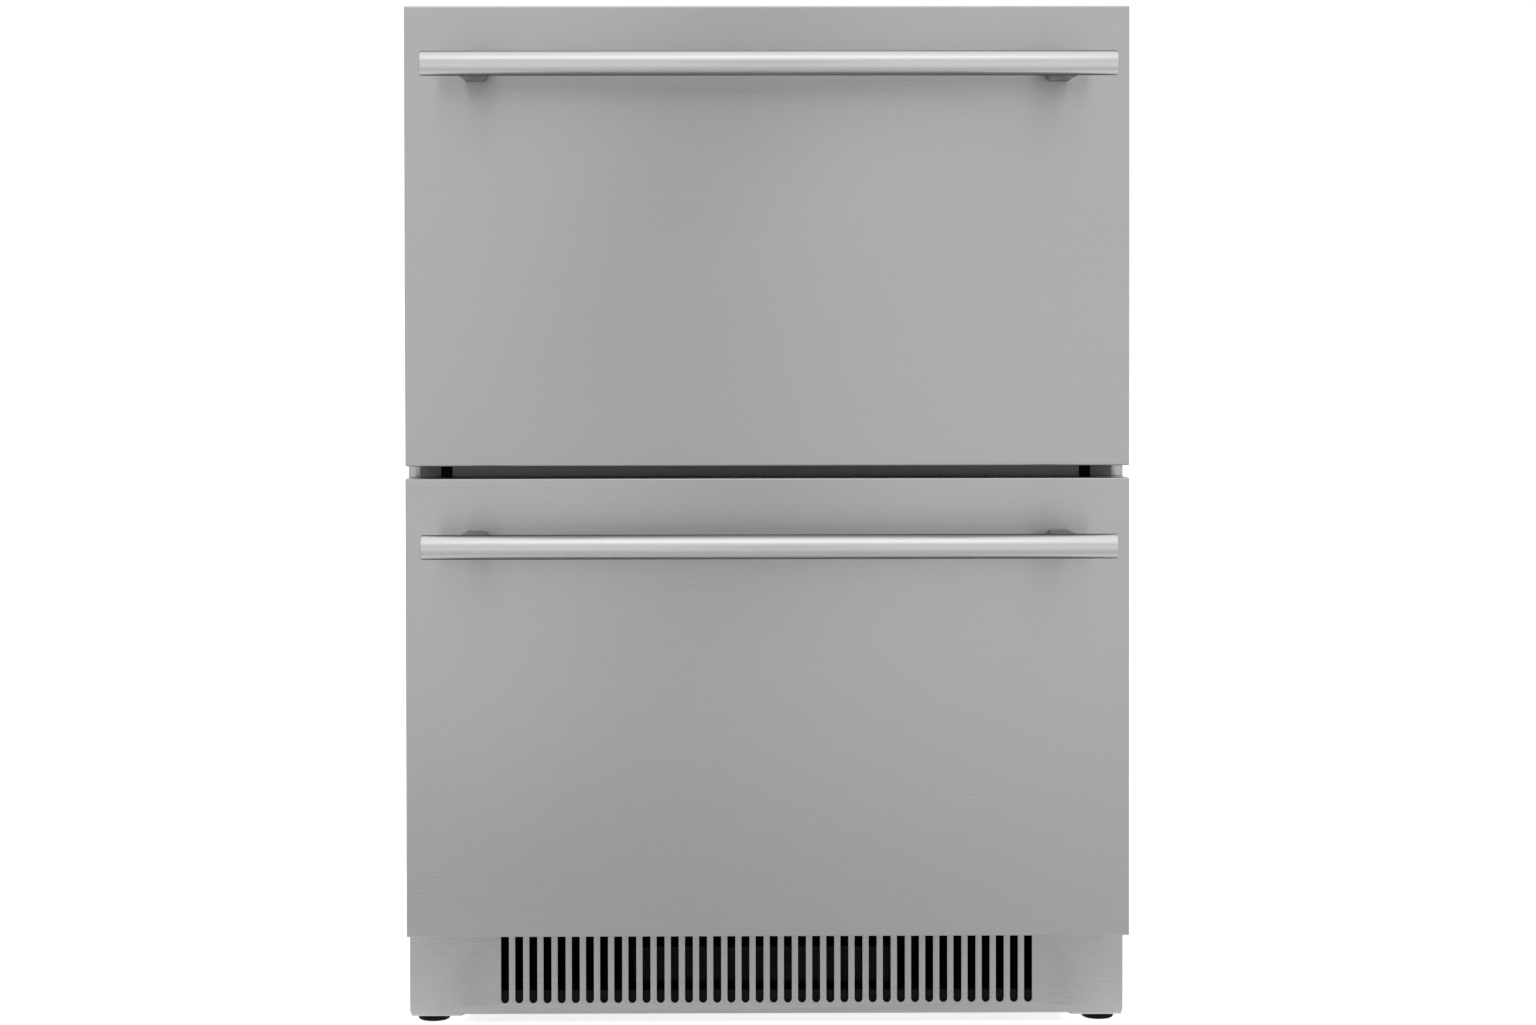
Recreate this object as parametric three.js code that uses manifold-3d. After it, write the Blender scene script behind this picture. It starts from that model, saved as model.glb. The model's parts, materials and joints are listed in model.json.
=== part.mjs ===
// Two-drawer under-counter refrigerator, 24 inch class, as an assembly of separate pieces.
//
// Millimetres, +Z up, standing on Z = 0. The drawer fronts face -Y and +X is to the right of
// somebody who stands in front of it. Inside this file Y = 0 is the outer face of the drawer
// fronts; the whole group is shifted at the end so that the origin is the middle of the
// footprint.

import * as THREE from 'three';
import { mergeVertices } from 'three/addons/utils/BufferGeometryUtils.js';
import Module from 'manifold-3d';

const wasm = await Module();
wasm.setup();

// ---------------------------------------------------------------- driving dimensions

const GAP = 0.3;                    // air between two pieces that touch
const SHEET = 1.2;                  // stainless and galvanised sheet
const PLASTIC = 2.5;                // vacuum-formed plastic wall

const CABINET_WIDTH = 606;
const CABINET_TOP = 859;
const CABINET_FRONT = 57;           // plane that the gaskets close against
const CABINET_BACK = 610;
const CABINET_BOTTOM = 10;
const FLANGE = 28;                  // width of the folded frame around the opening

const FRONT_WIDTH = 600;
const FRONT_HEIGHT = 380.5;
const FRONT_GAP = 10;               // between the two drawer fronts
const FRONT_BOTTOM = 85;
const SKIN_DEPTH = 42.7;            // folded edges of the stainless drawer skin

const HANDLE_RADIUS = 10;
const HANDLE_LENGTH = 563;
const HANDLE_CHAMFER = 1;
const HANDLE_REACH = 58;            // handle axis in front of the drawer skin
const HANDLE_DROP = 53;             // handle axis below the top edge of the front
const POST_SPACING = 482;
const POST_FOOT = 17.5;             // post width at the skin
const POST_HEAD = 20.6;             // post width at the handle
const POST_HEIGHT = 19.6;
const POST_TIP = 6 - HANDLE_REACH;  // posts reach past the back of the bar's tube

const OPENING_WIDTH = 526;          // inside of the liner
const LINER_FLOOR = 129;
const LINER_CEILING = 818;
const LINER_BACK = 565;
const STEP_TOP = 363;               // liner floor above the machine compartment
const STEP_FRONT = 360;             // liner wall in front of the machine compartment
const WALL = 38;                    // insulated floor thickness

const MULLION_HEIGHT = 50;
const MULLION_DEPTH = 50;

const KICK_BOTTOM = 8.5;
const KICK_TOP = 93;
const KICK_WIDTH = 604;
const SLOT_COUNT = 38;
const SLOT_PITCH = 12;
const SLOT_WIDTH = 6.7;
const SLOT_BOTTOM = 17.5;
const SLOT_TOP = 89;

const FOOT_INSET = 19;              // foot centre from the side of the cabinet
const FOOT_FRONT = 78;
const FOOT_REAR = 586;
const FOOT_RADIUS = 13.5;
const PAD_TOP = 6;
const STUD_RADIUS = 5;
const STUD_TOP = 50;
const STUD_CLEARANCE = 0.5;
const BRACKET_SIZE = 45;            // plates that carry the front feet
const BRACKET_THICKNESS = 3.2;
const BRACKET_CORNER = 6;
const BRACKET_INSET = 1.5;

const PAN_LIP = 18;                 // folded edges of the base pan
const LINER_LIP = 8;                // liner's front lip above its ceiling
const STEP_CLEARANCE = 4;           // foam wall in front of the machine compartment

const GASKET_INSET = 10;            // gasket from the edge of the drawer front
const GASKET_WIDTH = 14;
const INNER_PANEL_INSET = 2;

const BIN_WIDTH = 500;
const BIN_BACK = 495;
const UPPER_BIN = { floor: 505, top: 791 };
const LOWER_BIN = { floor: 135, top: 433, step: 371, stepFront: 352 };
const RAIL_LENGTH = 440;
const RAIL_FRONT = 62;
const RAIL_HEIGHT = 45;
const RAIL_LEVELS = { upper: 738, lower: 401 };
const BIN_RAIL_INSET = 5;           // back end of the moving member in front of the bin's back
const FIXED_RAIL_DEPTH = 10.5;      // across the rail, from the liner wall inwards
const MIDDLE_RAIL_BACK = 2.8;
const MIDDLE_RAIL_LIP = 9.8;
const MIDDLE_RAIL_STEP = 3;         // middle member lower than the fixed one, above and below
const MOVING_RAIL_STEP = 7.5;
const MOVING_RAIL_DEPTH = 5.5;

const VENT = { columns: 14, pitch: 36, width: 9, rows: [[140, 205], [225, 290]] };
const INLET = { x: 230, z: 60, width: 30, height: 22, depth: 26 };
const INLET_WELL = { halfWidth: 12, halfHeight: 8, depth: 17 };

const COMPRESSOR = { x: 150, y: 512, lift: 2, well: 67 };
const COMPRESSOR_PLATE = { x0: 60, x1: 240, y0: 445, y1: 580, thickness: 4 };
const COMPRESSOR_SHELL = [          // (radius, height) round the drawn steel shell, open below
  [68, 0], [72, 0], [72, 92], [66, 122], [48, 142], [0, 150],
  [0, 146], [46, 138], [62, 119], [68, 91], [68, 0],
];
const CONDENSER = { x0: -270, x1: -60, y0: 415, y1: 455, top: 240 };
const CONDENSER_FAN = {
  x: -165, y: 464, z: 130, radius: 70, hub: 18, length: 20, bore: 3.4, blades: 5,
};
const FAN_FRAME = { half: 80, front: 458, back: 490, bar: 8, motor: 24, motorDepth: 30, shaft: 3 };
const DRAIN_PAN = { halfWidth: 120, y0: 150, y1: 350, height: 34 };
const EVAPORATOR = { x0: -200, x1: 40, y0: 528, z0: 553, z1: 763 };
const EVAPORATOR_FAN = {
  x: 130, y: 511, z: 663, radius: 50, hub: 15, length: 16, bore: 2.9, blades: 5,
};
const EVAPORATOR_MOTOR = { radius: 22, front: 536, shaft: 2.5 };
const SHAFT_START = 6;              // shaft tip behind the front of its fan wheel
const EVAPORATOR_COVER = { halfWidth: 215, y0: 503, z0: 528, z1: 788, opening: 54 };
const COVER_SLOT = { count: 7, first: -180, pitch: 32, width: 12, z0: 553, z1: 633 };
const FIN_COUNT = 22;
const FIN_WEB = 5;
const BLADE_THICKNESS = 1.6;
const BLADE_PITCH = 32;             // degrees
const BORE_START = 4;               // blind bore starts behind the front of the hub

const CONTROL = { halfWidth: 72, front: 75, depth: 42, bottom: 797 };
const BUTTON = { width: 14, height: 9, depth: 5, proud: 1.5, clear: 0.4, travelGap: 0.6 };
const BUTTON_PLACES = { button_power: -52, button_down: 30, button_up: 52 };
const LIGHT_BAR = { x0: 90, x1: 235, depth: 16, height: 10 };

const CUT = 1;                      // how far a cutting body stands past the surface it cuts

const WIDE_ROUND = 32;              // segments of the large round pieces
const SMALL_ROUND = 20;             // segments of the small round pieces

// dimensions that follow from the ones above
const HALF_CABINET = CABINET_WIDTH / 2;
const HALF_OPENING = OPENING_WIDTH / 2;
const FRAME_EDGE = HALF_CABINET - FLANGE - GAP;
const FRONT_BOTTOMS = { lower: FRONT_BOTTOM, upper: FRONT_BOTTOM + FRONT_HEIGHT + FRONT_GAP };
const MULLION_CENTRE = FRONT_BOTTOM + FRONT_HEIGHT + FRONT_GAP / 2;
const COMPARTMENT_TOP = STEP_TOP - WALL;
const COMPARTMENT_FRONT = STEP_FRONT + WALL + STEP_CLEARANCE;
const FLOOR_SHEET = LINER_FLOOR - WALL;
const INNER_PANEL_BACK = SKIN_DEPTH + GAP + PLASTIC;
const FOOTPRINT_MIDDLE = (CABINET_BACK - HANDLE_REACH - HANDLE_RADIUS) / 2;

// ---------------------------------------------------------------- materials

const metal = (color, roughness) => ({ color, roughness, metalness: 1 });
const matt = (color, roughness) => ({ color, roughness, metalness: 0 });
const STAINLESS = metal(0xa9a9a7, 0.34);
const POLISHED = metal(0xc6c6c6, 0.2);
const GALVANISED = metal(0x9da0a2, 0.5);
const ALUMINIUM = metal(0xb9bcbf, 0.4);
const ZINC_RAIL = metal(0x8f9396, 0.38);
const BLACK_PAINT = matt(0x151515, 0.5);
const BLACK_PLASTIC = matt(0x1b1b1c, 0.55);
const WHITE_PLASTIC = matt(0xe4e6e6, 0.45);
const GREY_PLASTIC = matt(0x8a8d90, 0.5);
const RUBBER = matt(0x3a3c3e, 0.85);
const FOAM = matt(0xe2d29b, 0.95);
const LAMP = matt(0xf6f4ec, 0.3);

// ---------------------------------------------------------------- geometry helpers

// Merged, position-only triangles of a three.js geometry as a solid.
function solid(geometry) {
  geometry.deleteAttribute('normal');
  geometry.deleteAttribute('uv');
  const merged = mergeVertices(geometry, 1e-4);
  const vertProperties = new Float32Array(merged.attributes.position.array);
  const triVerts = new Uint32Array(merged.index.array);
  return new wasm.Manifold(new wasm.Mesh({ numProp: 3, vertProperties, triVerts }));
}

function geometryOf(body) {
  const { vertProperties, triVerts } = body.getMesh();
  const geometry = new THREE.BufferGeometry();
  geometry.setAttribute('position', new THREE.BufferAttribute(vertProperties, 3));
  geometry.setIndex(new THREE.BufferAttribute(triVerts, 1));
  geometry.computeVertexNormals();
  return geometry;
}

// Box between two corners.
function block([x0, y0, z0], [x1, y1, z1]) {
  const box = new THREE.BoxGeometry(x1 - x0, y1 - y0, z1 - z0);
  box.translate((x0 + x1) / 2, (y0 + y1) / 2, (z0 + z1) / 2);
  return solid(box);
}

// Cylinder along Y from y0 to y1.
function barY(radius, y0, y1, x, z, segments = SMALL_ROUND) {
  const bar = new THREE.CylinderGeometry(radius, radius, y1 - y0, segments);
  bar.translate(x, (y0 + y1) / 2, z);
  return solid(bar);
}

// Cylinder along Z from z0 to z1.
function barZ(radius, z0, z1, x, y, segments = SMALL_ROUND) {
  const bar = new THREE.CylinderGeometry(radius, radius, z1 - z0, segments);
  bar.rotateX(Math.PI / 2);
  bar.translate(x, y, (z0 + z1) / 2);
  return solid(bar);
}

function shapeOf(points) {
  return new THREE.Shape(points.map(([u, v]) => new THREE.Vector2(u, v)));
}

function prism(shape, length) {
  return new THREE.ExtrudeGeometry(shape, { depth: length, bevelEnabled: false, curveSegments: 3 });
}

// Outline of (y, z) points, extruded along X from x0 to x1.
function alongX(points, x0, x1) {
  const geometry = prism(shapeOf(points), x1 - x0);
  const basis = new THREE.Matrix4().makeBasis(
    new THREE.Vector3(0, 1, 0), new THREE.Vector3(0, 0, 1), new THREE.Vector3(1, 0, 0));
  geometry.applyMatrix4(basis);
  geometry.translate(x0, 0, 0);
  return solid(geometry);
}

// Outline of (x, z) points, extruded along Y from y0 to y1.
function alongY(shape, y0, y1) {
  const geometry = prism(shape, y1 - y0);
  geometry.rotateX(Math.PI / 2);
  geometry.translate(0, y1, 0);
  return solid(geometry);
}

// Outline of (x, y) points, extruded along Z from z0 to z1.
function alongZ(points, z0, z1) {
  const geometry = prism(shapeOf(points), z1 - z0);
  geometry.translate(0, 0, z0);
  return solid(geometry);
}

// Turned body: (radius, z) profile that starts and ends on the axis or closes on itself.
function turned(profile, segments) {
  const points = profile.map(([radius, height]) => new THREE.Vector2(radius, height));
  const geometry = new THREE.LatheGeometry(points, segments);
  geometry.rotateX(Math.PI / 2);
  return geometry;
}

function mirrored(points) {
  return points.map(([x, y]) => [-x, y]).reverse();
}

const fridge = new THREE.Group();

function piece(name, body, look, parent = fridge) {
  const geometry = body.isBufferGeometry ? body : geometryOf(body);
  const mesh = new THREE.Mesh(geometry, new THREE.MeshStandardMaterial(look));
  mesh.name = name;
  parent.add(mesh);
  return mesh;
}

// ---------------------------------------------------------------- outer cabinet

// Side sheet with its folded front flange and a rear stiffening fold, seen from above.
function sidePanel() {
  const outer = HALF_CABINET;
  return [
    [outer, CABINET_FRONT], [outer, CABINET_BACK],
    [outer - SHEET, CABINET_BACK], [outer - SHEET, CABINET_FRONT + SHEET],
    [outer - FLANGE, CABINET_FRONT + SHEET], [outer - FLANGE, CABINET_FRONT],
  ];
}

function addOuterCabinet() {
  const sideTop = CABINET_TOP - SHEET - GAP;
  piece('side_panel_right', alongZ(sidePanel(), CABINET_BOTTOM, sideTop), STAINLESS);
  piece('side_panel_left', alongZ(mirrored(sidePanel()), CABINET_BOTTOM, sideTop), STAINLESS);

  const inside = HALF_CABINET - SHEET - GAP;
  const topSheet = block(
    [-HALF_CABINET, CABINET_FRONT, CABINET_TOP - SHEET], [HALF_CABINET, CABINET_BACK, CABINET_TOP]);
  const topFlange = block(
    [-FRAME_EDGE, CABINET_FRONT, CABINET_TOP - FLANGE],
    [FRAME_EDGE, CABINET_FRONT + SHEET, CABINET_TOP - SHEET / 2]);
  piece('top_panel', topSheet.add(topFlange), STAINLESS);

  piece('back_panel', block(
    [-inside, CABINET_BACK - SHEET, COMPARTMENT_TOP], [inside, CABINET_BACK, sideTop]), GALVANISED);

  piece('base_pan', basePan(inside), BLACK_PAINT);

  // stepped sheet that closes the insulated body from below, with the lower gasket flange
  const front = CABINET_FRONT;
  const rise = COMPARTMENT_FRONT;
  const back = CABINET_BACK - SHEET - GAP;
  const partition = [
    [front, FLOOR_SHEET], [rise, FLOOR_SHEET], [rise, COMPARTMENT_TOP - SHEET],
    [back, COMPARTMENT_TOP - SHEET], [back, COMPARTMENT_TOP],
    [rise - SHEET, COMPARTMENT_TOP], [rise - SHEET, FLOOR_SHEET + SHEET],
    [front + SHEET, FLOOR_SHEET + SHEET], [front + SHEET, LINER_FLOOR - PLASTIC - GAP],
    [front, LINER_FLOOR - PLASTIC - GAP],
  ];
  piece('compartment_partition', alongX(partition, -FRAME_EDGE, FRAME_EDGE), GALVANISED);
}

// Tray under the machine compartment, with studs passing at its four corners.
function basePan(inside) {
  const front = CABINET_FRONT + SHEET + GAP;
  const back = CABINET_BACK - SHEET - GAP;
  const z = CABINET_BOTTOM;
  const edge = z + PAN_LIP;
  const profile = [
    [front, z], [back, z], [back, edge], [back - SHEET, edge], [back - SHEET, z + SHEET],
    [front + SHEET, z + SHEET], [front + SHEET, edge], [front, edge],
  ];
  let pan = alongX(profile, -inside, inside);
  for (const { x, y } of feet()) {
    pan = pan.subtract(barZ(STUD_RADIUS + STUD_CLEARANCE, z - CUT, z + SHEET + CUT, x, y));
  }
  return pan;
}

// ---------------------------------------------------------------- liner, foam and mullion

// Stepped side outline of the cold space, grown outwards by a wall thickness.
function coldOutline(grow, front) {
  return [
    [front, LINER_FLOOR - grow], [STEP_FRONT + grow, LINER_FLOOR - grow],
    [STEP_FRONT + grow, STEP_TOP - grow], [LINER_BACK + grow, STEP_TOP - grow],
    [LINER_BACK + grow, LINER_CEILING + grow], [front, LINER_CEILING + grow],
  ];
}

function addColdSpace() {
  const lipFront = CABINET_FRONT + SHEET + GAP;
  const lipEdge = FRAME_EDGE - GAP;
  const shell = alongX(coldOutline(PLASTIC, lipFront), -HALF_OPENING - PLASTIC,
    HALF_OPENING + PLASTIC);
  const lip = block(
    [-lipEdge, lipFront, LINER_FLOOR - PLASTIC],
    [lipEdge, lipFront + PLASTIC, LINER_CEILING + PLASTIC + LINER_LIP]);
  const cavity = alongX(coldOutline(0, lipFront - CUT), -HALF_OPENING, HALF_OPENING);
  piece('inner_liner', shell.add(lip).subtract(cavity), WHITE_PLASTIC);

  const front = lipFront + PLASTIC + GAP;
  const back = CABINET_BACK - SHEET - 2 * GAP;
  const side = HALF_CABINET - SHEET - GAP;
  const floor = FLOOR_SHEET + SHEET + GAP;
  const top = CABINET_TOP - SHEET - GAP;
  const rise = COMPARTMENT_FRONT - SHEET - GAP;
  const step = COMPARTMENT_TOP + GAP;
  const outside = [
    [front, floor], [rise, floor], [rise, step], [back, step], [back, top], [front, top]];
  const hollow = alongX(coldOutline(PLASTIC + GAP, front - CUT),
    -HALF_OPENING - PLASTIC - GAP, HALF_OPENING + PLASTIC + GAP);
  piece('insulation', alongX(outside, -side, side).subtract(hollow), FOAM);

  const low = MULLION_CENTRE - MULLION_HEIGHT / 2;
  const high = MULLION_CENTRE + MULLION_HEIGHT / 2;
  const y0 = CABINET_FRONT;
  const y1 = CABINET_FRONT + MULLION_DEPTH;
  const channel = [
    [y0, low], [y1, low], [y1, low + SHEET], [y0 + SHEET, low + SHEET],
    [y0 + SHEET, high - SHEET], [y1, high - SHEET], [y1, high], [y0, high],
  ];
  const beam = alongX(channel, -HALF_OPENING + GAP, HALF_OPENING - GAP);
  const face = block([-HALF_OPENING - PLASTIC, y0, low], [HALF_OPENING + PLASTIC, y0 + SHEET, high]);
  piece('mullion', beam.add(face), STAINLESS);
}

// ---------------------------------------------------------------- kick plate, rear cover, feet

// Vertical slot with round ends, as a hole in an (x, z) outline.
function slotPath(x, bottom, top, width) {
  const radius = width / 2;
  const path = new THREE.Path();
  path.absarc(x, top - radius, radius, 0, Math.PI, false);
  path.absarc(x, bottom + radius, radius, Math.PI, 2 * Math.PI, false);
  path.closePath();
  return path;
}

function slottedPlate(halfWidth, bottom, top, slots) {
  const plate = shapeOf([
    [-halfWidth, bottom], [halfWidth, bottom], [halfWidth, top], [-halfWidth, top]]);
  plate.holes.push(...slots);
  return plate;
}

function addKickPlate() {
  const first = -SLOT_PITCH * (SLOT_COUNT - 1) / 2;
  const slots = Array.from({ length: SLOT_COUNT }, (_, i) =>
    slotPath(first + i * SLOT_PITCH, SLOT_BOTTOM, SLOT_TOP, SLOT_WIDTH));
  const plate = slottedPlate(KICK_WIDTH / 2, KICK_BOTTOM, KICK_TOP, slots);
  const back = CABINET_FRONT - GAP;
  piece('kick_plate', alongY(plate, back - SHEET, back), STAINLESS);
}

function addRearCover() {
  const slots = [];
  for (const [low, high] of VENT.rows) {
    for (let i = 0; i < VENT.columns; i += 1) {
      slots.push(slotPath((i - (VENT.columns - 1) / 2) * VENT.pitch, low, high, VENT.width));
    }
  }
  const edge = HALF_CABINET - SHEET - 2 * GAP;
  const top = COMPARTMENT_TOP - SHEET - 2 * GAP;
  const plate = slottedPlate(edge, CABINET_BOTTOM, top, slots);
  const cover = alongY(plate, CABINET_BACK - SHEET, CABINET_BACK);
  const { x, z, width, height } = INLET;
  const hole = block(
    [x - width / 2 - GAP, CABINET_BACK - SHEET - CUT, z - height / 2 - GAP],
    [x + width / 2 + GAP, CABINET_BACK + CUT, z + height / 2 + GAP]);
  piece('rear_cover', cover.subtract(hole), GALVANISED);
}

function feet() {
  const x = HALF_CABINET - FOOT_INSET;
  return [
    { name: 'foot_front_left', x: -x, y: FOOT_FRONT },
    { name: 'foot_front_right', x, y: FOOT_FRONT },
    { name: 'foot_rear_left', x: -x, y: FOOT_REAR },
    { name: 'foot_rear_right', x, y: FOOT_REAR },
  ];
}

function addFeet() {
  const pad = FOOT_RADIUS;
  const stud = STUD_RADIUS;
  const profile = [
    [0, 0], [pad - 1.5, 0], [pad, 1.5], [pad, 3.5], [pad - 3, PAD_TOP - 0.5],
    [stud, PAD_TOP], [stud, STUD_TOP - 1], [stud - 1, STUD_TOP], [0, STUD_TOP],
  ];
  for (const { name, x, y } of feet()) {
    piece(name, turned(profile, SMALL_ROUND), BLACK_PLASTIC).position.set(x, y, 0);
  }

  // angled plate that carries each front foot below the kick plate
  const top = CABINET_BOTTOM - GAP;
  const bottom = top - BRACKET_THICKNESS;
  const outer = HALF_CABINET - BRACKET_INSET;
  const inner = outer - BRACKET_SIZE;
  const front = CABINET_FRONT + GAP;
  const back = CABINET_FRONT + BRACKET_SIZE;
  const corner = BRACKET_CORNER;
  const outline = [
    [outer, front], [outer, back], [inner + corner, back], [inner, back - corner],
    [inner, CABINET_FRONT + corner], [inner + corner / 2, front],
  ];
  for (const [name, side] of [['foot_bracket_left', -1], ['foot_bracket_right', 1]]) {
    const plate = alongZ(side > 0 ? outline : mirrored(outline), bottom, top);
    const x = side * (HALF_CABINET - FOOT_INSET);
    const hole = barZ(stud + STUD_CLEARANCE, bottom - CUT, top + CUT, x, FOOT_FRONT);
    piece(name, plate.subtract(hole), GALVANISED);
  }
}

// ---------------------------------------------------------------- refrigeration machine

// Block of upright fins on a common web, between two corners. A fin and a gap are equally wide.
function finBlock([x0, y0, z0], [x1, y1, z1]) {
  const pitch = (x1 - x0) / (FIN_COUNT - 0.5);
  const root = y1 - FIN_WEB;
  const points = [[x0, y1], [x0, y0]];
  for (let i = 0; i < FIN_COUNT; i += 1) {
    const left = x0 + i * pitch;
    points.push([left + pitch / 2, y0]);
    if (i < FIN_COUNT - 1) {
      points.push([left + pitch / 2, root], [left + pitch, root], [left + pitch, y0]);
    }
  }
  points.push([x1, y1]);
  return alongZ(points, z0, z1);
}

// Axial fan wheel around a Y axis: hub with a blind bore for the shaft, and pitched blades.
function fanWheel({ x, y, z, radius, hub, length, bore, blades }) {
  let wheel = barY(hub, y, y + length, x, z);
  const reach = radius - hub / 2;
  for (let i = 0; i < blades; i += 1) {
    const blade = new THREE.BoxGeometry(reach, BLADE_THICKNESS, hub * 1.5);
    blade.rotateX(THREE.MathUtils.degToRad(BLADE_PITCH));
    blade.translate(hub / 2 + reach / 2, 0, 0);
    blade.rotateY((i / blades) * 2 * Math.PI);
    blade.translate(x, y + length / 2, z);
    wheel = wheel.add(solid(blade));
  }
  return wheel.subtract(barY(bore, y + BORE_START, y + length + CUT, x, z));
}

function addMachine() {
  const floor = CABINET_BOTTOM + SHEET + GAP;

  const { x, y, lift, well } = COMPRESSOR;
  const { x0, x1, y0, y1, thickness } = COMPRESSOR_PLATE;
  const shell = turned(COMPRESSOR_SHELL, WIDE_ROUND);
  shell.translate(x, y, floor + lift);
  const plate = block([x0, y0, floor], [x1, y1, floor + thickness]);
  const hole = barZ(well, floor - CUT, floor + thickness + CUT, x, y, WIDE_ROUND);
  piece('compressor', solid(shell).add(plate.subtract(hole)), BLACK_PAINT);

  const coil = CONDENSER;
  piece('condenser',
    finBlock([coil.x0, coil.y0, floor], [coil.x1, coil.y1, coil.top]), ALUMINIUM);

  piece('condenser_fan_frame', fanFrame(CONDENSER_FAN, floor), BLACK_PAINT);
  piece('condenser_fan_blade', fanWheel(CONDENSER_FAN), ALUMINIUM);

  const pan = DRAIN_PAN;
  const inside = pan.halfWidth - PLASTIC;
  const rim = floor + pan.height;
  const tray = block([-pan.halfWidth, pan.y0, floor], [pan.halfWidth, pan.y1, rim]);
  const water = block(
    [-inside, pan.y0 + PLASTIC, floor + PLASTIC], [inside, pan.y1 - PLASTIC, rim + CUT]);
  piece('drain_pan', tray.subtract(water), BLACK_PLASTIC);

  addPowerInlet();
}

// Square shroud around the fan wheel, with the motor and shaft on a bar behind it.
function fanFrame(fan, floor) {
  const { half, front, back, bar, motor, motorDepth, shaft } = FAN_FRAME;
  const barFront = back - bar / 2;
  const left = fan.x - half;
  const right = fan.x + half;
  const box = block([left, front, floor], [right, back, fan.z + half]);
  const duct = barY(fan.radius + 3, front - CUT, back + CUT, fan.x, fan.z, WIDE_ROUND);
  const beam = block([left, barFront, fan.z - bar], [right, back, fan.z + bar]);
  const body = barY(motor, barFront, back + motorDepth, fan.x, fan.z);
  const axle = barY(shaft, fan.y + SHAFT_START, back, fan.x, fan.z);
  return box.subtract(duct).add(beam).add(body).add(axle);
}

// Recessed three-blade appliance inlet in the rear cover. No cord is fitted.
function addPowerInlet() {
  const { x, z, width, height, depth } = INLET;
  const { halfWidth, halfHeight } = INLET_WELL;
  const body = block(
    [x - width / 2, CABINET_BACK - depth, z - height / 2],
    [x + width / 2, CABINET_BACK, z + height / 2]);
  const socket = block(
    [x - halfWidth, CABINET_BACK - INLET_WELL.depth, z - halfHeight],
    [x + halfWidth, CABINET_BACK + CUT, z + halfHeight]);
  piece('power_inlet', body.subtract(socket), BLACK_PLASTIC);
}

function addEvaporator() {
  const back = LINER_BACK - GAP;
  const coil = EVAPORATOR;
  piece('evaporator',
    finBlock([coil.x0, coil.y0, coil.z0], [coil.x1, back, coil.z1]), ALUMINIUM);

  const fan = EVAPORATOR_FAN;
  const { radius, front, shaft } = EVAPORATOR_MOTOR;
  const axle = barY(shaft, fan.y + SHAFT_START, front + CUT, fan.x, fan.z);
  piece('evaporator_fan_motor', barY(radius, front, back, fan.x, fan.z).add(axle), BLACK_PAINT);
  piece('evaporator_fan_blade', fanWheel(fan), WHITE_PLASTIC);

  const { halfWidth, y0, z0, z1, opening } = EVAPORATOR_COVER;
  const outer = block([-halfWidth, y0, z0], [halfWidth, back, z1]);
  const inner = block(
    [-halfWidth + PLASTIC, y0 + PLASTIC, z0 + PLASTIC],
    [halfWidth - PLASTIC, back + CUT, z1 - PLASTIC]);
  const wallStart = y0 - CUT;
  const wallEnd = y0 + PLASTIC + CUT;
  const round = barY(opening, wallStart, wallEnd, fan.x, fan.z, WIDE_ROUND);
  let cover = outer.subtract(inner).subtract(round);
  const slot = COVER_SLOT;
  for (let i = 0; i < slot.count; i += 1) {
    const x = slot.first + i * slot.pitch;
    cover = cover.subtract(
      block([x, wallStart, slot.z0], [x + slot.width, wallEnd, slot.z1]));
  }
  piece('evaporator_cover', cover, WHITE_PLASTIC);
}

// ---------------------------------------------------------------- control and light

function addControl() {
  const ceiling = LINER_CEILING - GAP;
  const { halfWidth, front, depth, bottom } = CONTROL;
  const z = (bottom + ceiling) / 2;
  let housing = block([-halfWidth, front, bottom], [halfWidth, front + depth, ceiling]);
  for (const [name, x] of Object.entries(BUTTON_PLACES)) {
    const w = BUTTON.width / 2;
    const h = BUTTON.height / 2;
    const { clear, proud } = BUTTON;
    const pocket = block(
      [x - w - clear, front - CUT, z - h - clear],
      [x + w + clear, front + BUTTON.depth + BUTTON.travelGap, z + h + clear]);
    housing = housing.subtract(pocket);
    piece(name, block(
      [x - w, front - proud, z - h], [x + w, front - proud + BUTTON.depth, z + h]), GREY_PLASTIC);
  }
  piece('control_housing', housing, BLACK_PLASTIC);

  const light = LIGHT_BAR;
  piece('light_bar', block(
    [light.x0, front, ceiling - light.height], [light.x1, front + light.depth, ceiling]), LAMP);
}

// ---------------------------------------------------------------- drawers

// Telescopic rail member as an (x, z) channel that opens towards -X on the right-hand side.
function channel(back, lip, halfHeight, thickness) {
  return [
    [back, -halfHeight], [back, halfHeight], [lip, halfHeight], [lip, halfHeight - thickness],
    [back - thickness, halfHeight - thickness], [back - thickness, -halfHeight + thickness],
    [lip, -halfHeight + thickness], [lip, -halfHeight],
  ];
}

function railMember(points, side, y0, y1, z) {
  const outline = shapeOf(side > 0 ? points : mirrored(points));
  const member = alongY(outline, y0, y1);
  return member.translate([0, 0, z]);
}

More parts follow.
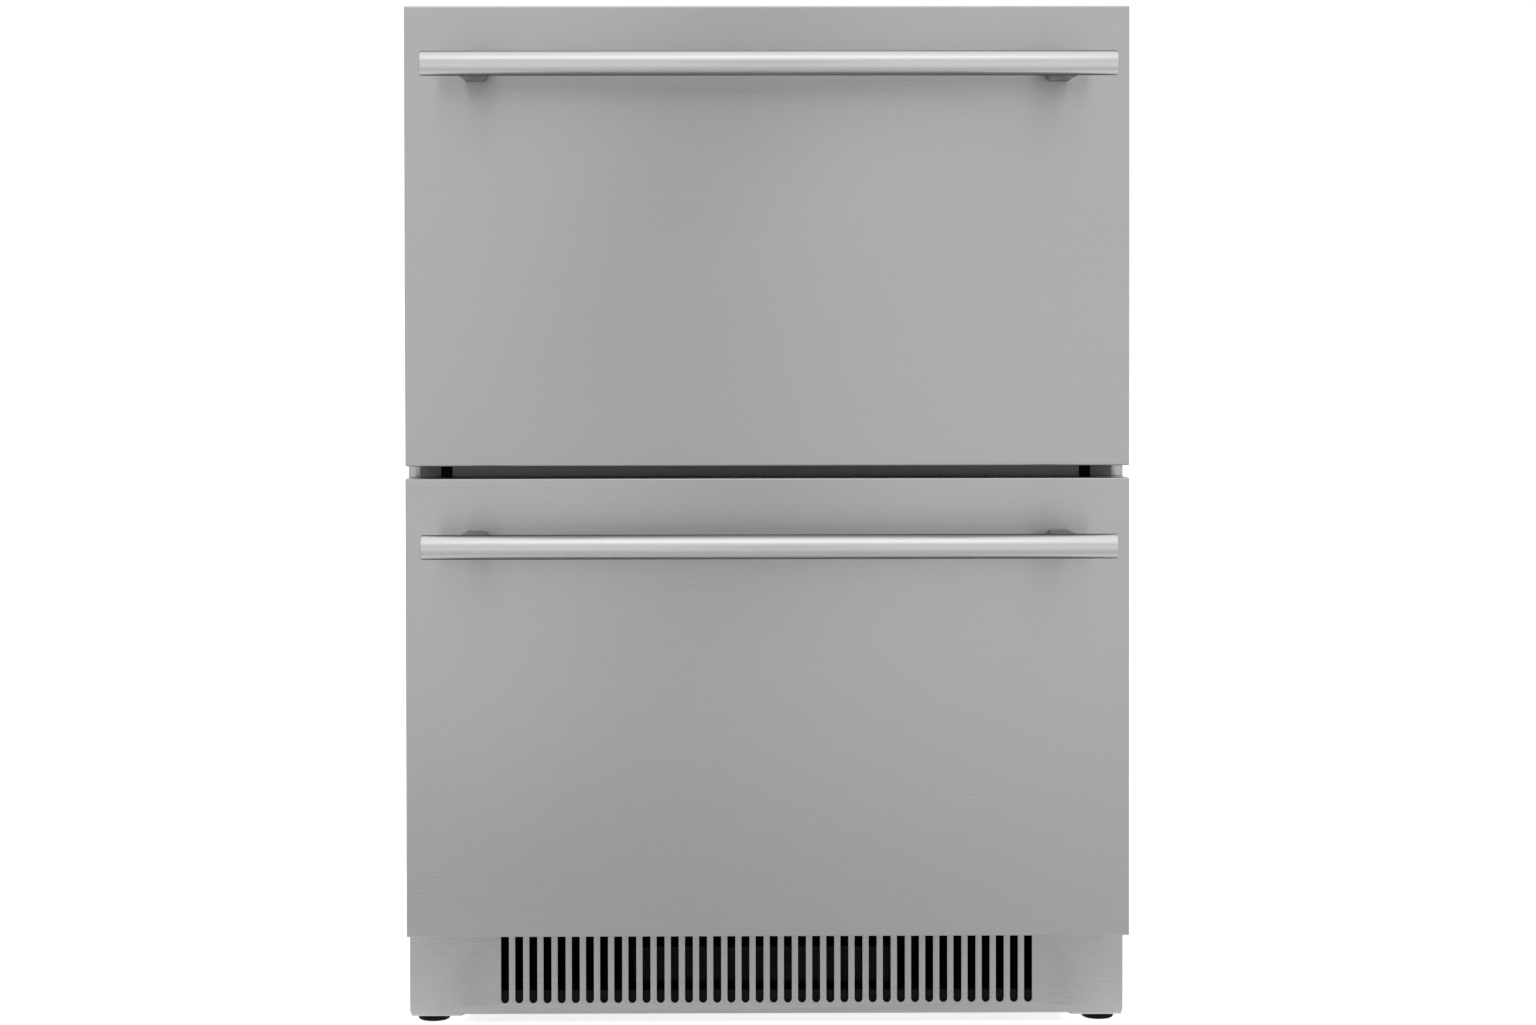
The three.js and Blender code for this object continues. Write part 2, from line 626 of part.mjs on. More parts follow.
function addRails(level, z, binRear) {
  const wall = HALF_OPENING - GAP;
  const half = RAIL_HEIGHT / 2;
  const rear = RAIL_FRONT + RAIL_LENGTH;
  const bin = BIN_WIDTH / 2 + GAP;
  const fixed = channel(wall, wall - FIXED_RAIL_DEPTH, half, SHEET);
  const middle = channel(
    wall - MIDDLE_RAIL_BACK, wall - MIDDLE_RAIL_LIP, half - MIDDLE_RAIL_STEP, SHEET);
  const top = half - MOVING_RAIL_STEP;
  const lip = bin + MOVING_RAIL_DEPTH;
  const moving = [
    [bin, -top], [lip, -top], [lip, -top + SHEET], [bin + SHEET, -top + SHEET],
    [bin + SHEET, top - SHEET], [lip, top - SHEET], [lip, top], [bin, top],
  ];
  for (const [word, side] of [['left', -1], ['right', 1]]) {
    piece(`rail_fixed_${level}_${word}`, railMember(fixed, side, RAIL_FRONT, rear, z), ZINC_RAIL);
    piece(`rail_middle_${level}_${word}`, railMember(middle, side, RAIL_FRONT, rear, z), ZINC_RAIL);
    piece(`rail_moving_${level}_${word}`,
      railMember(moving, side, RAIL_FRONT, binRear, z), ZINC_RAIL);
  }
}

// Folded stainless pan, foam, plastic inner panel and magnetic gasket of one drawer front.
function addFront(level, bottom) {
  const half = FRONT_WIDTH / 2;
  const top = bottom + FRONT_HEIGHT;
  const pan = block([-half, 0, bottom], [half, SKIN_DEPTH, top]);
  const inside = block(
    [-half + SHEET, SHEET, bottom + SHEET], [half - SHEET, SKIN_DEPTH + CUT, top - SHEET]);
  piece(`front_skin_${level}`, pan.subtract(inside), STAINLESS);

  const inset = SHEET + GAP;
  piece(`front_foam_${level}`, block(
    [-half + inset, inset, bottom + inset], [half - inset, SKIN_DEPTH, top - inset]), FOAM);

  const edge = INNER_PANEL_INSET;
  piece(`front_inner_panel_${level}`, block(
    [-half + edge, SKIN_DEPTH + GAP, bottom + edge],
    [half - edge, INNER_PANEL_BACK, top - edge]), WHITE_PLASTIC);

  const outer = GASKET_INSET;
  const inner = GASKET_INSET + GASKET_WIDTH;
  const y0 = INNER_PANEL_BACK + GAP;
  const y1 = CABINET_FRONT - GAP;
  const ring = block([-half + outer, y0, bottom + outer], [half - outer, y1, top - outer]);
  const window = block(
    [-half + inner, y0 - CUT, bottom + inner], [half - inner, y1 + CUT, top - inner]);
  piece(`gasket_${level}`, ring.subtract(window), RUBBER);
}

// Tubular bar handle on two posts that widen towards the bar.
function addHandle(level, bottom) {
  const z = bottom + FRONT_HEIGHT - HANDLE_DROP;
  const half = HANDLE_LENGTH / 2;
  const r = HANDLE_RADIUS;
  const chamfer = HANDLE_CHAMFER;
  const bar = turned([
    [0, -half], [r - chamfer, -half], [r, -half + chamfer],
    [r, half - chamfer], [r - chamfer, half], [0, half],
  ], WIDE_ROUND);
  bar.rotateY(Math.PI / 2);
  piece(`handle_bar_${level}`, bar, POLISHED).position.set(0, -HANDLE_REACH, z);

  const cope = new THREE.CylinderGeometry(r + GAP, r + GAP, 2 * POST_HEAD, WIDE_ROUND);
  cope.rotateZ(Math.PI / 2);
  cope.translate(0, -HANDLE_REACH, 0);
  const outline = [
    [-POST_FOOT / 2, -GAP], [-POST_HEAD / 2, POST_TIP],
    [POST_HEAD / 2, POST_TIP], [POST_FOOT / 2, -GAP]];
  const post = alongZ(outline, -POST_HEIGHT / 2, POST_HEIGHT / 2).subtract(solid(cope));
  for (const [word, side] of [['left', -1], ['right', 1]]) {
    piece(`handle_post_${level}_${word}`, post, STAINLESS)
      .position.set(side * POST_SPACING / 2, 0, z);
  }
}

// Open-topped bin behind the front, from the outside and inside (y, z) outlines of its side.
function addBin(level, outside, inside) {
  const half = BIN_WIDTH / 2;
  const shell = alongX(outside, -half, half);
  const hollow = alongX(inside, -half + PLASTIC, half - PLASTIC);
  piece(`bin_${level}`, shell.subtract(hollow), WHITE_PLASTIC);
}

function addBins() {
  const y0 = INNER_PANEL_BACK + GAP;
  const y1 = BIN_BACK;
  const t = PLASTIC;

  const upper = UPPER_BIN;
  addBin('upper',
    [[y0, upper.floor], [y1, upper.floor], [y1, upper.top], [y0, upper.top]],
    [[y0 + t, upper.floor + t], [y1 - t, upper.floor + t],
      [y1 - t, upper.top + CUT], [y0 + t, upper.top + CUT]]);

  // the lower bin steps up over the machine compartment
  const { floor, top, step, stepFront } = LOWER_BIN;
  addBin('lower',
    [[y0, floor], [stepFront, floor], [stepFront, step], [y1, step], [y1, top], [y0, top]],
    [[y0 + t, floor + t], [stepFront - t, floor + t], [stepFront - t, step + t],
      [y1 - t, step + t], [y1 - t, top + CUT], [y0 + t, top + CUT]]);
}

function addDrawers() {
  addBins();
  for (const [level, bottom] of Object.entries(FRONT_BOTTOMS)) {
    addFront(level, bottom);
    addHandle(level, bottom);
    addRails(level, RAIL_LEVELS[level], BIN_BACK - BIN_RAIL_INSET);
  }
}

// ---------------------------------------------------------------- assembly

addOuterCabinet();
addColdSpace();
addKickPlate();
addRearCover();
addFeet();
addMachine();
addEvaporator();
addControl();
addDrawers();

fridge.position.y = -FOOTPRINT_MIDDLE;

export default fridge;
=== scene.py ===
"""Looks of a two-drawer under-counter refrigerator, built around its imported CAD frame.

Metres, +Z up, the drawer fronts face -Y. Sizes and places come from the CAD boxes.
"""

import json
import math

import bmesh
import bpy
from mathutils import Matrix, Vector


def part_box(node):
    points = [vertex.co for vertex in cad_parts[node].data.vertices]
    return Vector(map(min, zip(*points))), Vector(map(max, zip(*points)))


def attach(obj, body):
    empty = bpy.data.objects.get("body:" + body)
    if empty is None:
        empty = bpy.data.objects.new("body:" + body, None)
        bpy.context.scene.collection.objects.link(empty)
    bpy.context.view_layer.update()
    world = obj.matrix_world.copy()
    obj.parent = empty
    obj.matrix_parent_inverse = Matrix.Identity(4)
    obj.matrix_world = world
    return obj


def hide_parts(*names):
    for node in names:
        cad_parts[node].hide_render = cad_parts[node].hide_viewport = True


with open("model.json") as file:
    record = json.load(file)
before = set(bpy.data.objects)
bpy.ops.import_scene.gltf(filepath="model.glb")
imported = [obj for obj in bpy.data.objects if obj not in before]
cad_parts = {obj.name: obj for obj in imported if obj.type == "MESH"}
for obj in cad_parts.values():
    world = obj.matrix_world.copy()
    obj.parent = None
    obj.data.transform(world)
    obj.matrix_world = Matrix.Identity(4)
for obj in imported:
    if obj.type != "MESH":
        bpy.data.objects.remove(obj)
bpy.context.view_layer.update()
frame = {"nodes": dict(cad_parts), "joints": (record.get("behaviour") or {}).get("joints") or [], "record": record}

LEVELS = ("upper", "lower")
SIDES = ("left", "right")
FOOT_PLACES = ("front_left", "front_right", "rear_left", "rear_right")

# ---------------------------------------------------------------- driving sizes

SHEET = 0.0012              # folded stainless and galvanised sheet
PLASTIC = 0.0025            # vacuum-formed plastic
SKIN_FOLD = 0.0016          # outside radius of the drawer skin's folds
SHEET_FOLD = 0.0018         # outside radius of the cabinet's folds
EDGE = 0.00025              # broken edge of cut sheet
STUD = 0.005                # radius of a foot's threaded stud
STUD_HOLE = 0.0055          # radius of its hole in the base pan
CORNER_STEPS = 5
ROUND = 48                  # segments of the large round pieces
SMALL_ROUND = 24
EPS = 0.0001

# ---------------------------------------------------------------- camera

CAMERA_DISTANCE = 2.4       # in front of the drawer fronts
CAMERA_SIDE = -0.0588
CAMERA_HEIGHT = 0.5712
CAMERA_YAW = 0.4            # degrees towards +X
CAMERA_PITCH = -0.7
CAMERA_ROLL = -0.09
CAMERA_LENS = 67.974
CAMERA_SHIFT = (0.0334, -0.0824)    # keeps the sides nearly parallel in the picture


def add_camera():
    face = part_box("front_skin_upper")[0].y
    data = bpy.data.cameras.new("camera")
    data.sensor_width = 36
    data.lens = CAMERA_LENS
    data.shift_x, data.shift_y = CAMERA_SHIFT
    camera = bpy.data.objects.new("camera", data)
    bpy.context.scene.collection.objects.link(camera)
    turn = (Matrix.Rotation(-math.radians(CAMERA_YAW), 4, "Z")
            @ Matrix.Rotation(math.radians(90 + CAMERA_PITCH), 4, "X")
            @ Matrix.Rotation(math.radians(CAMERA_ROLL), 4, "Z"))
    place = Matrix.Translation((CAMERA_SIDE, face - CAMERA_DISTANCE, CAMERA_HEIGHT))
    camera.matrix_world = place @ turn
    bpy.context.scene.camera = camera


# ---------------------------------------------------------------- materials

class Graph:
    """A material's node tree, with short calls for the nodes that every finish uses."""

    def __init__(self, name):
        self.material = bpy.data.materials.new(name)
        self.material.use_nodes = True
        self.nodes = self.material.node_tree.nodes
        self.links = self.material.node_tree.links
        self.surface = self.nodes["Principled BSDF"]
        self.where = self.nodes.new("ShaderNodeTexCoord").outputs["Object"]

    def link(self, output, target):
        self.links.new(output, target)

    def stretched(self, scale):
        """Object coordinates, scaled per metre along each axis."""
        node = self.nodes.new("ShaderNodeMapping")
        node.inputs["Scale"].default_value = scale
        self.link(self.where, node.inputs["Vector"])
        return node.outputs["Vector"]

    def noise(self, scale, detail=4, roughness=0.6):
        node = self.nodes.new("ShaderNodeTexNoise")
        node.inputs["Scale"].default_value = 1
        node.inputs["Detail"].default_value = detail
        node.inputs["Roughness"].default_value = roughness
        self.link(self.stretched(scale), node.inputs["Vector"])
        return node.outputs["Fac"]

    def cells(self, scale):
        node = self.nodes.new("ShaderNodeTexVoronoi")
        node.inputs["Scale"].default_value = 1
        self.link(self.stretched(scale), node.inputs["Vector"])
        return node.outputs["Color"]

    def spread(self, value, low, high, start=0.3, end=0.7):
        """Maps the pattern's usual range onto low to high."""
        node = self.nodes.new("ShaderNodeMapRange")
        node.inputs["From Min"].default_value = start
        node.inputs["From Max"].default_value = end
        node.inputs["To Min"].default_value = low
        node.inputs["To Max"].default_value = high
        self.link(value, node.inputs["Value"])
        return node.outputs["Result"]

    def mixed(self, factor, first, second):
        """Colour between two, each a tuple or another node's output."""
        node = self.nodes.new("ShaderNodeMix")
        node.data_type = "RGBA"
        colours = [i for i in node.inputs if i.type == "RGBA"]
        for socket, colour in zip(colours, (first, second)):
            if isinstance(colour, tuple):
                socket.default_value = (*colour, 1)
            else:
                self.link(colour, socket)
        self.link(factor, node.inputs["Factor"])
        return next(o for o in node.outputs if o.type == "RGBA")

    def edges(self, radius):
        """1 on edges sharper than the radius and 0 on flat faces."""
        bevel = self.nodes.new("ShaderNodeBevel")
        bevel.samples = 4
        bevel.inputs["Radius"].default_value = radius
        geometry = self.nodes.new("ShaderNodeNewGeometry")
        dot = self.nodes.new("ShaderNodeVectorMath")
        dot.operation = "DOT_PRODUCT"
        self.link(bevel.outputs["Normal"], dot.inputs[0])
        self.link(geometry.outputs["Normal"], dot.inputs[1])
        return self.spread(dot.outputs["Value"], 1, 0, 0.75, 0.99)

    def bump(self, height, distance, strength=1.0):
        node = self.nodes.new("ShaderNodeBump")
        node.inputs["Strength"].default_value = strength
        node.inputs["Distance"].default_value = distance
        self.link(height, node.inputs["Height"])
        self.link(node.outputs["Normal"], self.surface.inputs["Normal"])

    def colour(self, output):
        self.link(output, self.surface.inputs["Base Color"])

    def roughness(self, output):
        self.link(output, self.surface.inputs["Roughness"])

    def set(self, **values):
        for name, value in values.items():
            self.surface.inputs[name.replace("_", " ")].default_value = value


def grey(value, warmth=0.0):
    return (value * (1 + warmth), value, value * (1 - warmth))


def brushed(name, base, rough, grain, anisotropy=0.88, contrast=0.01, grazing_shade_tint=1.0,
            around="Z", turn=0.25):
    """Brushed steel. grain is the noise scale per metre along each axis, low along the brushing."""
    g = Graph(name)
    # a tint below 1 dims reflections at grazing angles: painted shade
    g.set(Metallic=1.0, Anisotropic=anisotropy, Anisotropic_Rotation=turn,
          Specular_Tint=(*grey(grazing_shade_tint), 1))
    tangent = g.nodes.new("ShaderNodeTangent")
    tangent.direction_type = "RADIAL"
    tangent.axis = around
    g.link(tangent.outputs["Tangent"], g.surface.inputs["Tangent"])
    lines = g.noise(grain, 5, 0.6)
    clouds = g.noise((3, 3, 7), 3, 0.5)
    tone = g.mixed(g.spread(lines, 0, 1), grey(base * (1 - contrast), 0.004),
                   grey(base * (1 + contrast)))
    stain = g.mixed(g.spread(clouds, 0, 1), grey(0.98, 0.004), grey(1.0))
    shaded = g.nodes.new("ShaderNodeMix")
    shaded.data_type = "RGBA"
    shaded.blend_type = "MULTIPLY"
    shaded.inputs["Factor"].default_value = 1
    colours = [i for i in shaded.inputs if i.type == "RGBA"]
    g.link(tone, colours[0])
    g.link(stain, colours[1])
    g.colour(next(o for o in shaded.outputs if o.type == "RGBA"))
    g.roughness(g.spread(lines, rough - 0.01, rough + 0.01))
    g.bump(lines, 0.00001, 0.06)
    return g.material


def spangled(name, base):
    """Galvanised sheet with faint zinc crystals."""
    g = Graph(name)
    g.set(Metallic=1.0)
    crystals = g.cells((55, 55, 55))
    fine = g.noise((400, 400, 400), 3)
    tone = g.mixed(g.spread(crystals, 0, 1, 0, 1), grey(base * 0.92, -0.01), grey(base * 1.06))
    worn = g.mixed(g.edges(0.0008), tone, grey(min(1, base * 1.25)))
    g.colour(worn)
    g.roughness(g.spread(crystals, 0.36, 0.55, 0, 1))
    g.bump(fine, 0.00003, 0.3)
    return g.material


def cast(name, dark, light, rough, pores, metallic=0.0, edge=None, coat=0.0, depth=0.00004,
         gloss=0.5):
    """Moulded, painted or rolled surface with fine pores, soft stains and rubbed edges."""
    g = Graph(name)
    g.set(Metallic=metallic, Coat_Weight=coat, Specular_IOR_Level=gloss)
    fine = g.noise((pores, pores, pores), 4, 0.6)
    stains = g.noise((9, 9, 9), 3)
    tone = g.mixed(g.spread(stains, 0, 1), dark, light)
    if edge:
        tone = g.mixed(g.edges(0.0009), tone, edge)
    g.colour(tone)
    g.roughness(g.spread(fine, rough - 0.07, rough + 0.07))
    g.bump(fine, depth, 0.4)
    return g.material


def lit_lens(name, strength):
    """White diffuser with a lamp behind it."""
    g = Graph(name)
    haze = g.noise((300, 300, 300), 3)
    glow = g.mixed(g.spread(haze, 0, 1), (0.95, 0.96, 1.0), (1.0, 1.0, 1.0))
    g.colour(glow)
    g.link(glow, g.surface.inputs["Emission Color"])
    g.set(Emission_Strength=strength)
    g.roughness(g.spread(haze, 0.25, 0.42))
    g.bump(haze, 0.00003, 0.3)
    return g.material


STEEL = 0.325
LOOKS = {
    "stainless": brushed("stainless", STEEL, 0.28, (2.5, 90, 1400)),
    "stainless_top": brushed("stainless_top", STEEL, 0.28, (2.5, 1400, 90), around="X", turn=0.0),
    # darker copy of the stainless: painted shade for the mullion deep in the gap between the fronts and for the
    # handle posts
    "painted_shade_steel": brushed("painted_shade_steel", STEEL * 0.45, 0.34, (2.5, 90, 1400)),
    # rougher, darker copy for the side flanges behind the fronts: the darkness is painted shade
    "painted_shade_flange_steel": brushed("painted_shade_flange_steel", STEEL * 0.45, 0.6, (90, 90, 9), anisotropy=0.2),
    # the handle's low tint darkens its grazing reflections: painted shade for the dark lines along its top and
    # bottom
    "handle_steel": brushed("handle_steel", 0.43, 0.27, (3, 1500, 1500), anisotropy=0.5,
                            grazing_shade_tint=0.15),
    "galvanised": spangled("galvanised", 0.36),
    "rail_steel": brushed("rail_steel", 0.5, 0.36, (200, 2, 900), anisotropy=0.4),
    "aluminium": cast("aluminium", grey(0.6), grey(0.7), 0.36, 500, metallic=1.0),
    "copper": cast("copper", (0.62, 0.27, 0.16), (0.72, 0.36, 0.22), 0.3, 300, metallic=1.0),
    "bright_steel": cast("bright_steel", grey(0.6), grey(0.68), 0.25, 600, metallic=1.0),
    "black_paint": cast("black_paint", grey(0.008), grey(0.014), 0.42, 700,
                        edge=grey(0.05), coat=0.2),
    "black_plastic": cast("black_plastic", grey(0.011), grey(0.018), 0.55, 1400,
                          edge=grey(0.035)),
    "shadow_black": cast("shadow_black", grey(0.003), grey(0.005), 0.8, 900, gloss=0.1),
    "white_plastic": cast("white_plastic", grey(0.7, 0.004), grey(0.76), 0.36, 900,
                          edge=grey(0.8), coat=0.15),
    "grey_plastic": cast("grey_plastic", grey(0.2, -0.01), grey(0.25, -0.01), 0.45, 900,
                         edge=grey(0.32)),
    "glass_black": cast("glass_black", grey(0.006), grey(0.009), 0.08, 60, coat=0.6,
                        depth=0.000004),
    "gasket_rubber": cast("gasket_rubber", grey(0.03), grey(0.042), 0.72, 1100,
                          edge=grey(0.06)),
    "foam": cast("foam", (0.62, 0.5, 0.22), (0.76, 0.66, 0.36), 0.95, 350, depth=0.0006),
    # lighter copy of the galvanised finish: painted light lifts the brackets out of the shade under the kick plate
    "painted_light_bracket_zinc": spangled("painted_light_bracket_zinc", 0.42),
    "lamp_lens": lit_lens("lamp_lens", 2.5),
}

SLOT_OF = {part["node"]: part["material_slot"] for part in frame["record"]["subparts"]}
BODY_OF = {node: body for body, nodes in frame["record"]["behaviour"]["bodies"].items()
           for node in nodes}


# ---------------------------------------------------------------- outlines

def rounded(u0, u1, v0, v1, radius):
    """Rectangle with round corners, anticlockwise."""
    radius = max(min(radius, (u1 - u0) / 2 - EPS, (v1 - v0) / 2 - EPS), EPS)
    corners = ((u1 - radius, v0 + radius, -90), (u1 - radius, v1 - radius, 0),
               (u0 + radius, v1 - radius, 90), (u0 + radius, v0 + radius, 180))
    points = []
    for cu, cv, start in corners:
        for i in range(CORNER_STEPS + 1):
            a = math.radians(start + 90 * i / CORNER_STEPS)
            points.append((cu + radius * math.cos(a), cv + radius * math.sin(a)))
    return points


def circle(radius, count=ROUND, start=0.0):
    return [(radius * math.cos(start + math.tau * i / count),
             radius * math.sin(start + math.tau * i / count)) for i in range(count)]


def filleted(points, radii, steps=4):
    """Closed outline whose corners become arcs of the given radii; 0 keeps a corner."""
    result = []
    count = len(points)
    for i, (point, radius) in enumerate(zip(points, radii)):
        p = Vector(point)
        to_last = (Vector(points[i - 1]) - p)
        to_next = (Vector(points[(i + 1) % count]) - p)
        half = to_last.angle(to_next) / 2 if radius > 0 else 0
        if radius <= 0 or abs(half - math.pi / 2) < 0.01:
            result.append(tuple(p))
            continue
        reach = min(radius / math.tan(half), to_last.length / 2.01, to_next.length / 2.01)
        start = p + to_last.normalized() * reach
        end = p + to_next.normalized() * reach
        centre = p + (to_last.normalized() + to_next.normalized()).normalized() * (
            reach / math.cos(half))
        first = start - centre
        sweep = first.angle_signed(end - centre)
        for k in range(steps + 1):
            result.append(tuple(centre + Matrix.Rotation(-sweep * k / steps, 2) @ first))
    return result


def folded(path, thickness=SHEET, radius=SHEET_FOLD):
    """Outline of sheet bent along an open path, its thickness on the path's left."""
    points = [Vector(p) for p in path]
    lefts = []
    for a, b in zip(points, points[1:]):
        along = (b - a).normalized()
        lefts.append(Vector((-along.y, along.x)))
    inner, outer_radii, inner_radii = [], [], []
    for i, p in enumerate(points):
        if i in (0, len(points) - 1):
            inner.append(p + lefts[min(i, len(lefts) - 1)] * thickness)
            outer_radii.append(0)
            inner_radii.append(0)
            continue
        before, after = lefts[i - 1], lefts[i]
        inner.append(p + (before + after) * (thickness / (1 + before.dot(after))))
        turns_left = before.x * after.y - before.y * after.x > 0
        outer_radii.append(radius if turns_left else radius - thickness)
        inner_radii.append(radius - thickness if turns_left else radius)
    outline = [tuple(p) for p in points] + [tuple(p) for p in reversed(inner)]
    return filleted(outline, outer_radii + inner_radii[::-1])


def fold(radius, steps=4):
    """(depth, inset) pairs round a quarter-circle edge, from the face to the side."""
    return [(radius * (1 - math.cos(math.pi / 2 * i / steps)),
             radius * (1 - math.sin(math.pi / 2 * i / steps))) for i in range(steps + 1)]


# ---------------------------------------------------------------- solids

PLACE = {
    "x": lambda u, v, w: Vector((w, u, v)),
    "y": lambda u, v, w: Vector((u, w, v)),
    "z": lambda u, v, w: Vector((u, v, w)),
}
ACROSS = {"x": (1, 2, 0), "y": (0, 2, 1), "z": (0, 1, 2)}


def loft(bm, rings, loop=False):
    """Quads between successive closed rings. Open lofts get a face at each end."""
    rows = [[bm.verts.new(p) for p in ring] for ring in rings]
    count = len(rows[0])
    for a, b in zip(rows, rows[1:] + rows[:1] if loop else rows[1:]):
        for i in range(count):
            j = (i + 1) % count
            bm.faces.new((a[i], a[j], b[j], b[i]))
    if not loop:
        bm.faces.new(rows[0])
        bm.faces.new(rows[-1])
    return bm


def moulded(low, high, profile, axis="y", corner=0.003, loop=False, bm=None):
    """Rounded-rectangle body. profile has (depth along the axis, inset from the box) pairs."""
    u, v, w = ACROSS[axis]
    rings = []
    for depth, inset in profile:
        outline = rounded(low[u] + inset, high[u] - inset, low[v] + inset, high[v] - inset,
                          corner - inset)
        rings.append([PLACE[axis](a, b, low[w] + depth) for a, b in outline])
    return loft(bm or bmesh.new(), rings, loop)


def turned(profile, centre, axis="z", count=ROUND, loop=False, bm=None):
    """Turned body from (radius, height) pairs, about an axis through centre."""
    rings = [[Vector(centre) + PLACE[axis](a, b, height) for a, b in circle(radius, count)]
             for radius, height in profile]
    return loft(bm or bmesh.new(), rings, loop)


def extruded(outline, axis, start, end, bm=None):
    return loft(bm or bmesh.new(),
                [[PLACE[axis](u, v, w) for u, v in outline] for w in (start, end)])


def swept(path, radius, count=12, bm=None, smooth=6):
    """Round tube along a smooth curve through the points."""
    bm = bm or bmesh.new()
    points = [Vector(p) for p in path]
    ends = [points[0] * 2 - points[1], *points, points[-1] * 2 - points[-2]]
    line = []
    for a, b, c, d in zip(ends, ends[1:], ends[2:], ends[3:]):
        for i in range(smooth):
            t = i / smooth
            line.append(0.5 * (2 * b + (c - a) * t + (2 * a - 5 * b + 4 * c - d) * t * t
                               + (3 * b - a - 3 * c + d) * t ** 3))
    line.append(points[-1])
    side = (line[1] - line[0]).orthogonal().normalized()
    rings = []
    for i, p in enumerate(line):
        along = (line[min(i + 1, len(line) - 1)] - line[max(i - 1, 0)]).normalized()
        side = (side - along * side.dot(along)).normalized()
        up = along.cross(side)
        rings.append([p + side * a + up * b for a, b in circle(radius, count)])
    return loft(bm, rings)


def cut_plate(outline, holes, low_y, thickness):
    """Upright plate with holes, from (x, z) outlines, with broken edges."""
    data = bpy.data.curves.new("plate", "CURVE")
    data.dimensions = "2D"
    data.fill_mode = "BOTH"
    data.extrude = thickness / 2 - EDGE
    data.bevel_depth = EDGE
    data.bevel_resolution = 1
    data.offset = -EDGE
    for points in [outline, *(hole[::-1] for hole in holes)]:
        spline = data.splines.new("POLY")
        spline.points.add(len(points) - 1)
        for point, (x, z) in zip(spline.points, points):
            point.co = (x, z, 0, 1)
        spline.use_cyclic_u = True
    carrier = bpy.data.objects.new("plate", data)
    bpy.context.scene.collection.objects.link(carrier)
    depsgraph = bpy.context.evaluated_depsgraph_get()
    mesh = bpy.data.meshes.new_from_object(carrier.evaluated_get(depsgraph))
    bpy.data.objects.remove(carrier)
    bm = bmesh.new()
    bm.from_mesh(mesh)
    bpy.data.meshes.remove(mesh)
    bmesh.ops.remove_doubles(bm, verts=bm.verts, dist=EPS / 100)
    upright = Matrix.Translation((0, low_y + thickness / 2, 0)) @ Matrix.Rotation(
        math.pi / 2, 4, "X")
    bmesh.ops.transform(bm, matrix=upright, verts=bm.verts)
    return bm


def drilled(bm, centres, radius, low_z, high_z):
    """Closed mesh with upright round holes cut through it."""
    cutter = bmesh.new()
    for x, y in centres:
        turned([(radius, 0), (radius, high_z - low_z)], Vector((x, y, low_z)),
               count=SMALL_ROUND, bm=cutter)
    carriers = []
    for name, source in (("drilled", bm), ("drill", cutter)):
        bmesh.ops.recalc_face_normals(source, faces=source.faces)
        mesh = bpy.data.meshes.new(name)
        source.to_mesh(mesh)
        source.free()
        carriers.append(bpy.data.objects.new(name, mesh))
        bpy.context.scene.collection.objects.link(carriers[-1])
    cut = carriers[0].modifiers.new("cut", "BOOLEAN")
    cut.operation, cut.solver, cut.object = "DIFFERENCE", "EXACT", carriers[1]
    depsgraph = bpy.context.evaluated_depsgraph_get()
    result = bpy.data.meshes.new_from_object(carriers[0].evaluated_get(depsgraph))
    for carrier in carriers:
        bpy.data.meshes.remove(carrier.data)
    out = bmesh.new()
    out.from_mesh(result)
    bpy.data.meshes.remove(result)
    return out


def slot_hole(x, low, high, width, steps=8):
    """Upright slot with round ends, in (x, z)."""
    radius = width / 2
    points = []
    for centre, start in ((high - radius, 0), (low + radius, math.pi)):
        for i in range(steps + 1):
            a = start + math.pi * i / steps
            points.append((x + radius * math.cos(a), centre + radius * math.sin(a)))
    return points


def add(name, bm, look, body, slot=None, replaces=(), sharp=35.0, bevel=0.0, oriented=False):
    """Makes a piece of the mesh. It rides on the body and stands for the replaced CAD nodes."""
    if not oriented:
        bmesh.ops.recalc_face_normals(bm, faces=bm.faces)
    mesh = bpy.data.meshes.new(name)
    bm.to_mesh(mesh)
    bm.free()
    mesh.materials.append(LOOKS[look])
    mesh.polygons.foreach_set("use_smooth", [True] * len(mesh.polygons))
    mesh.set_sharp_from_angle(angle=math.radians(sharp))
    piece = bpy.data.objects.new(name, mesh)
    bpy.context.scene.collection.objects.link(piece)
    if bevel:
        add_bevel(piece, bevel)
    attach(piece, body)
    if replaces:
        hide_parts(*replaces)
    return piece


def repaint(piece, look, picked):
    """Gives another look to the faces that picked(face) chooses."""
    piece.data.materials.append(LOOKS[look])
    for face in piece.data.polygons:
        if picked(face):
            face.material_index = 1


def stand_in(node, bm, look=None, **options):
    """A finer piece in place of one CAD node, on the same body, in its slot's look unless another look is given.
    """
    slot = SLOT_OF[node]
    return add(f"fine_{node}", bm, look or slot, BODY_OF[node], slot, [node], **options)


def add_bevel(piece, width, segments=2):
    bevel = piece.modifiers.new("bevel", "BEVEL")
    bevel.width = width
    bevel.segments = segments
    bevel.limit_method = "ANGLE"
    bevel.angle_limit = math.radians(50)
    bevel.harden_normals = True
    return bevel


def keep_cad(node, width=0.0005, look=None):
    """Shows the CAD node itself, with its edges broken and its slot's finish."""
    piece = frame["nodes"][node]
    weld = piece.modifiers.new("weld", "WELD")
    weld.merge_threshold = EPS / 10
    add_bevel(piece, width)
    piece.data.materials.clear()
    piece.data.materials.append(LOOKS[look or SLOT_OF[node]])


# ---------------------------------------------------------------- fasteners

